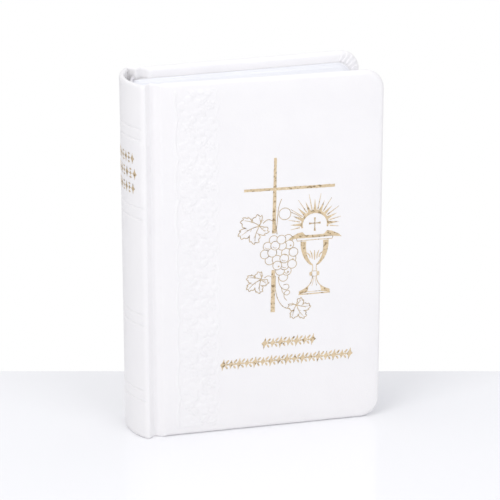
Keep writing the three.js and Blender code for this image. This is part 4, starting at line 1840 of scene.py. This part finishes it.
            cup.stroke(path, [0.10 + 0.34 * math.sin(math.pi * t) for t in shares])
        cup.finish("foil_chalice", "front_cover", self.palette.gold)

    def build_grapes(self) -> None:
        """A hanging bunch of outlined grapes, the front ones whole and those behind partly hidden."""
        draw = random.Random(11)
        spots = []
        rows = (
            (70.9, 46.3, 3), (68.7, 44.2, 4), (66.1, 43.0, 5), (63.6, 44.9, 4),
            (61.3, 47.6, 3), (59.2, 48.5, 2), (57.1, 49.9, 1),
        )
        for z, left, count in rows:
            for k in range(count):
                aside, above = draw.uniform(-0.16, 0.16), draw.uniform(-0.22, 0.22)
                spots.append((left + self.grape_pitch * k + aside, z + above))
        draw.shuffle(spots)
        bunch = self.stamp()
        turns = np.radians(np.arange(0.0, 360.0, 9.0))
        for k, (x, z) in enumerate(spots):
            rim = [(x + self.grape * math.cos(t), z + self.grape * math.sin(t)) for t in turns]
            nearest = self.grape - 0.02
            seen = [all(math.hypot(a - u, b - v) > nearest for u, v in spots[:k]) for a, b in rim]
            if all(seen):
                bunch.circle((x, z), self.grape, self.line)
            elif any(seen):
                count = len(turns)
                first = next(n for n in range(count) if seen[n] and not seen[n - 1])
                run = []
                for step in range(count + 1):
                    n = (first + step) % count
                    if seen[n] and step < count:
                        run.append(rim[n])
                    else:
                        if len(run) > 2:
                            bunch.stroke(run, self.line)
                        run = []
            if k % 4 == 1:
                bunch.circle((x, z), self.grape * 0.55, 0.2, 200.0, 300.0)
            if k % 5 == 2:
                bunch.disc((x + 0.5, z - 0.4), 0.32)
        bunch.finish("foil_grapes", "front_cover", self.palette.fine_gold)

    def build_leaf(self, node: str, at: tuple, radius: float, turn: float) -> None:
        """One vine leaf: a toothed five-lobed outline with veins.

        Args:
            node: the frame's node that it stands for.
            at: its middle.
            radius: how far its lobes reach.
            turn: direction of its middle lobe, in degrees.
        """
        leaf = self.stamp()
        count = 120
        outline = []
        for k in range(count):
            t = 2.0 * math.pi * k / count
            lobe = 0.53 + 0.43 * abs(math.cos(2.5 * t)) ** 0.85
            tooth = 0.09 * (2.0 * ((k / count * 20.0) % 1.0) - 1.0)
            stalk = 1.0 - 0.42 * math.exp(-(((abs(t - math.pi)) / 0.30) ** 2))
            r = radius * (lobe + tooth) * stalk
            a = t + math.radians(turn)
            outline.append((at[0] + r * math.cos(a), at[1] + r * math.sin(a) * 0.97))
        leaf.stroke(outline, self.line * 1.2, closed=True)
        back, middle = 0.42 * radius, math.radians(turn)
        base = (at[0] - back * math.cos(middle), at[1] - back * math.sin(middle))
        for lobe in range(5):
            a = math.radians(turn + 72.0 * (lobe - 2))
            tip = (at[0] + 0.78 * radius * math.cos(a), at[1] + 0.78 * radius * math.sin(a))
            bend = (
                (base[0] + tip[0]) / 2.0 + 0.08 * radius * math.sin(a),
                (base[1] + tip[1]) / 2.0 - 0.08 * radius * math.cos(a),
            )
            path = curve([base, bend, tip], 6)
            leaf.stroke(path, np.linspace(0.32, 0.14, len(path)))
            for share, sign in ((0.45, 1.0), (0.62, -1.0)):
                p = path[int(share * (len(path) - 1))]
                b = a + sign * 0.7
                reach = 0.22 * radius
                leaf.stroke([p, (p[0] + reach * math.cos(b), p[1] + reach * math.sin(b))], [0.18, 0.08])
        leaf.finish(node, "front_cover", self.palette.fine_gold)

    def build_tendrils(self) -> None:
        """The curling stems round the cross and below the bunch."""
        upper = self.stamp()
        upper.stroke(curve([(46.9, 73.6), (47.4, 76.2), (47.7, 79.5), (48.1, 83.0), (49.1, 85.9)]), 0.24)
        upper.circle((50.3, 80.3), 2.15, 0.24)
        upper.stroke(curve([(52.4, 80.7), (53.6, 80.2), (55.2, 79.2), (56.2, 78.4)]), 0.22)
        upper.stroke(curve([(42.4, 77.4), (44.0, 78.6), (45.6, 78.2), (46.9, 76.6), (47.5, 73.0)]), 0.28)
        upper.finish("foil_tendril_upper", "front_cover", self.palette.fine_gold)
        lower = self.stamp()
        curl = [
            (48.0, 57.0), (48.3, 54.6), (49.2, 52.9), (50.8, 52.0),
            (51.9, 52.8), (51.4, 54.0), (49.9, 53.9),
        ]
        loop = [
            (49.2, 52.9), (49.6, 51.2), (51.0, 50.0), (52.2, 50.8),
            (51.6, 51.8), (50.3, 51.0), (50.2, 49.2), (51.2, 47.9),
        ]
        stem = [(47.0, 57.6), (46.9, 53.8), (47.3, 50.6), (48.3, 47.8), (50.0, 45.6), (52.4, 44.6)]
        lower.stroke(curve(curl), 0.22)
        lower.stroke(curve(loop), 0.22)
        lower.stroke(curve(stem), 0.26)
        lower.stroke(curve([(42.9, 57.1), (44.2, 57.8), (45.6, 57.3)]), 0.24)
        lower.finish("foil_tendril_lower", "front_cover", self.palette.fine_gold)

    def build_row(self, node: str, at: tuple, width: float, count: int) -> None:
        """A row of lozenges, dots and leaf sprays, in place of lettering.

        Args:
            node: the frame's node that it stands for.
            at: the row's middle.
            width: from end to end.
            count: how many lozenges.
        """
        row = self.stamp()
        pitch = width / count
        left = at[0] - width / 2.0 + pitch / 2.0
        for k in range(count):
            x = left + pitch * k
            row.lozenge((x, at[1]), pitch * 0.42, 2.3 if k % 2 == 0 else 1.8, 0.18)
            if k == count - 1:
                continue
            middle = x + pitch / 2.0
            row.disc((middle, at[1]), 0.40)
            for s in (-1.0, 1.0):
                spray = curve(
                    [
                        (middle - 0.55 + 0.1 * s, at[1] + s * 0.55),
                        (middle + 0.18 * s, at[1] + s * 1.1),
                        (middle + 0.35 + 0.3 * s, at[1] + s * 1.7),
                    ],
                    4,
                )
                shares = np.linspace(0.1, 0.95, len(spray))
                row.stroke(spray, [0.18 + 0.50 * math.sin(math.pi * t) for t in shares])
        row.finish(node, "front_cover", self.palette.gold)

    def build(self) -> None:
        """Every stamped motif of the front cover."""
        self.build_cross()
        self.build_host()
        self.build_chalice()
        self.build_grapes()
        self.build_leaf("foil_leaf_upper", (38.9, 75.6), 5.9, 205.0)
        self.build_leaf("foil_leaf_lower_left", (40.2, 55.6), 4.4, 215.0)
        self.build_leaf("foil_leaf_lower_right", (55.6, 44.4), 4.4, 300.0)
        self.build_tendrils()
        self.build_row("foil_ornament_short", (51.9, 32.4), 20.6, 7)
        self.build_row("foil_ornament_long", (51.2, 25.6), 49.6, 17)


@dataclass
class SpineStamping:
    """Three rows of ornament across the spine."""

    palette: Palette
    heights: tuple = (92.4, 97.8, 103.2)
    half_widths: tuple = (9.6, 10.7, 9.4)
    count: int = 9

    def surface(self, across: np.ndarray, z: np.ndarray, depth: np.ndarray) -> np.ndarray:
        """The spine's outer face, by arc length across it.

        Args:
            across: arc lengths from the middle of the spine.
            z: heights.
            depth: how far below the face.

        Returns:
            The places in book millimetres.
        """
        radius = PLAN.spine_radius
        turn = np.asarray(across, float) / radius
        r = radius - np.asarray(depth, float)
        x, y = PLAN.spine_centre - r * np.cos(turn), -r * np.sin(turn)
        return np.stack(np.broadcast_arrays(x, y, np.asarray(z, float)), axis=-1)

    def build(self) -> None:
        """The rows, as one piece."""
        rows = Stamp(self.surface)
        for z, half in zip(self.heights, self.half_widths):
            pitch = 2.0 * half / self.count
            for k in range(self.count):
                y = -half + pitch * (k + 0.5)
                if k % 2 == 0:
                    rows.lozenge((y, z), pitch * 0.48, 2.0)
                else:
                    rows.lozenge((y, z), pitch * 0.38, 0.85)
                    for side in (-1.0, 1.0):
                        rows.lozenge((y, z + side * 1.45), pitch * 0.38, 0.50)
        solid = turned_over(Solid.joined(rows.parts), True)
        piece = make_piece("foil_spine_stamped", solid, [self.palette.gold], 30.0)
        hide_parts("foil_spine_ornament")
        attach(piece, "spine")


# ---------------------------------------------------------------- studio


@dataclass
class Studio:
    """The table, the white surroundings, the soft lights and the camera."""

    yaw: float = 14.28
    pitch: float = 19.26
    distance: float = 862.0
    lens: float = 177.4
    aim: tuple = (37.72, 0.0, 68.0)  # from the front cover's foot at the ridge
    foot: tuple = (-0.07, -12.70)  # that foot in the book
    table_behind: float = 55.0
    table_thick: float = 8.0
    table_half: float = 1500.0  # its half width, and how far it comes towards the camera
    table_tints: tuple = ((0.3, (0.925, 0.925, 0.945)), (0.7, (0.94, 0.94, 0.96)))
    room: float = 0.65  # how bright the white room is

    def front_to_book(self, point: Sequence[float]) -> np.ndarray:
        """A point measured from the front cover's plane, in book millimetres.

        Args:
            point: along the cover, through the book and up, from the cover's foot.

        Returns:
            The same place in the book.
        """
        x, y, z = point
        cos, sin = math.cos(-PLAN.fan), math.sin(-PLAN.fan)
        along, out = self.foot
        return np.array([x * cos - y * sin + along, x * sin + y * cos + out, z])

    @property
    def heading(self) -> float:
        """The camera's direction over the table, in radians from +y."""
        return math.radians(self.yaw) + PLAN.fan

    def build_camera(self) -> None:
        """The camera at the book."""
        a, p = math.radians(self.yaw), math.radians(self.pitch)
        look = np.array([math.sin(a) * math.cos(p), math.cos(a) * math.cos(p), -math.sin(p)])
        eye = self.front_to_book(np.array(self.aim) - look * self.distance)
        aim = self.front_to_book(self.aim)
        data = bpy.data.cameras.new("book_camera")
        data.lens = self.lens
        data.sensor_width = 36.0
        data.clip_start, data.clip_end = 0.01, 30.0
        camera = bpy.data.objects.new("book_camera", data)
        bpy.context.scene.collection.objects.link(camera)
        start, end = Vector(PLAN.spot(*eye)), Vector(PLAN.spot(*aim))
        camera.location = start
        camera.rotation_mode = "QUATERNION"
        camera.rotation_quaternion = (end - start).to_track_quat("-Z", "Y")
        bpy.context.scene.camera = camera

    def build_table(self) -> None:
        """A pale glossy table whose far edge runs square to the camera."""
        a = self.heading
        away = np.array([math.sin(a), math.cos(a)])
        aside = np.array([math.cos(a), -math.sin(a)])
        aim = self.front_to_book(self.aim)[:2]
        far, wide = self.table_behind, self.table_half
        corners = ((-wide, -wide), (-wide, wide), (far, wide), (far, -wide))
        top = [aim + away * f + aside * w for f, w in corners]
        points = [(x, y, 0.0) for x, y in top] + [(x, y, -self.table_thick) for x, y in top]
        faces = [[0, 1, 2, 3], [7, 6, 5, 4], [0, 4, 5, 1], [1, 5, 6, 2], [2, 6, 7, 3], [3, 7, 4, 0]]
        shader = Shader("table_top")
        cloud = shader.noise(0.02, 2.0)
        tint = shader.ramp(cloud.outputs["Fac"], self.table_tints)
        shader.link(tint.outputs["Color"], shader.surface.inputs["Base Color"])
        shader.set(Roughness=0.08, IOR=1.45)
        uv = np.array([(p[0], p[1]) for p in points])
        table = make_piece("table", Solid(np.array(points), faces, uv), [shader.material])

    def build_light(self, name: str, place: tuple, size: float, power: float, colour: tuple) -> None:
        """One soft square light aimed at the book's middle.

        Args:
            name: its name.
            place: where it hangs, in metres from the book: right, away and up from the camera.
            size: its side in metres.
            power: watts.
            colour: its colour.
        """
        data = bpy.data.lights.new(name, "AREA")
        data.shape = "SQUARE"
        data.size = size
        data.energy = power
        data.color = colour
        lamp = bpy.data.objects.new(name, data)
        bpy.context.scene.collection.objects.link(lamp)
        a = self.heading
        right, away, up = place
        x, y = right * math.cos(a) + away * math.sin(a), away * math.cos(a) - right * math.sin(a)
        spot = Vector((x, y, up))
        lamp.location = spot
        lamp.rotation_mode = "QUATERNION"
        lamp.rotation_quaternion = (Vector((0.0, 0.0, 0.065)) - spot).to_track_quat("-Z", "Y")

    def build(self) -> None:
        """Everything round the book."""
        scene = bpy.context.scene
        scene.view_settings.view_transform = "Standard"
        world = bpy.data.worlds.new("white_room")
        world.use_nodes = True
        nodes, links = world.node_tree.nodes, world.node_tree.links
        glow = nodes["Background"]
        glow.inputs["Color"].default_value = (0.975, 0.98, 1.0, 1.0)
        glow.inputs["Strength"].default_value = self.room
        backdrop = nodes.new("ShaderNodeBackground")
        backdrop.inputs["Color"].default_value = (1.0, 1.0, 1.0, 1.0)
        seen = nodes.new("ShaderNodeLightPath")
        either = nodes.new("ShaderNodeMixShader")
        links.new(seen.outputs["Is Camera Ray"], either.inputs["Fac"])
        links.new(glow.outputs["Background"], either.inputs[1])
        links.new(backdrop.outputs["Background"], either.inputs[2])
        links.new(either.outputs["Shader"], nodes["World Output"].inputs["Surface"])
        scene.world = world
        self.build_camera()
        self.build_table()
        self.build_light("key_softbox", (-0.75, -0.95, 0.95), 0.8, 6.0, (1.0, 0.995, 0.99))
        self.build_light("fill_softbox", (0.9, -1.1, 0.7), 0.9, 5.1, (0.985, 0.985, 1.0))
        self.build_light("top_softbox", (0.0, 0.1, 1.15), 1.1, 3.4, (0.985, 0.99, 1.0))


def main() -> None:
    """Builds the book round the frame and reports each piece."""
    logging.basicConfig(level=logging.INFO, format="%(name)s %(message)s")
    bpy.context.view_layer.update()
    palette = Palette()
    Studio().build()
    Cover(Side.FRONT, palette, LaceBand()).build()
    Cover(Side.BACK, palette).build()
    Spine(palette).build()
    TextBlock(palette).build()
    CoverStamping(palette).build()
    SpineStamping(palette).build()


if __name__ == "__main__":
    main()
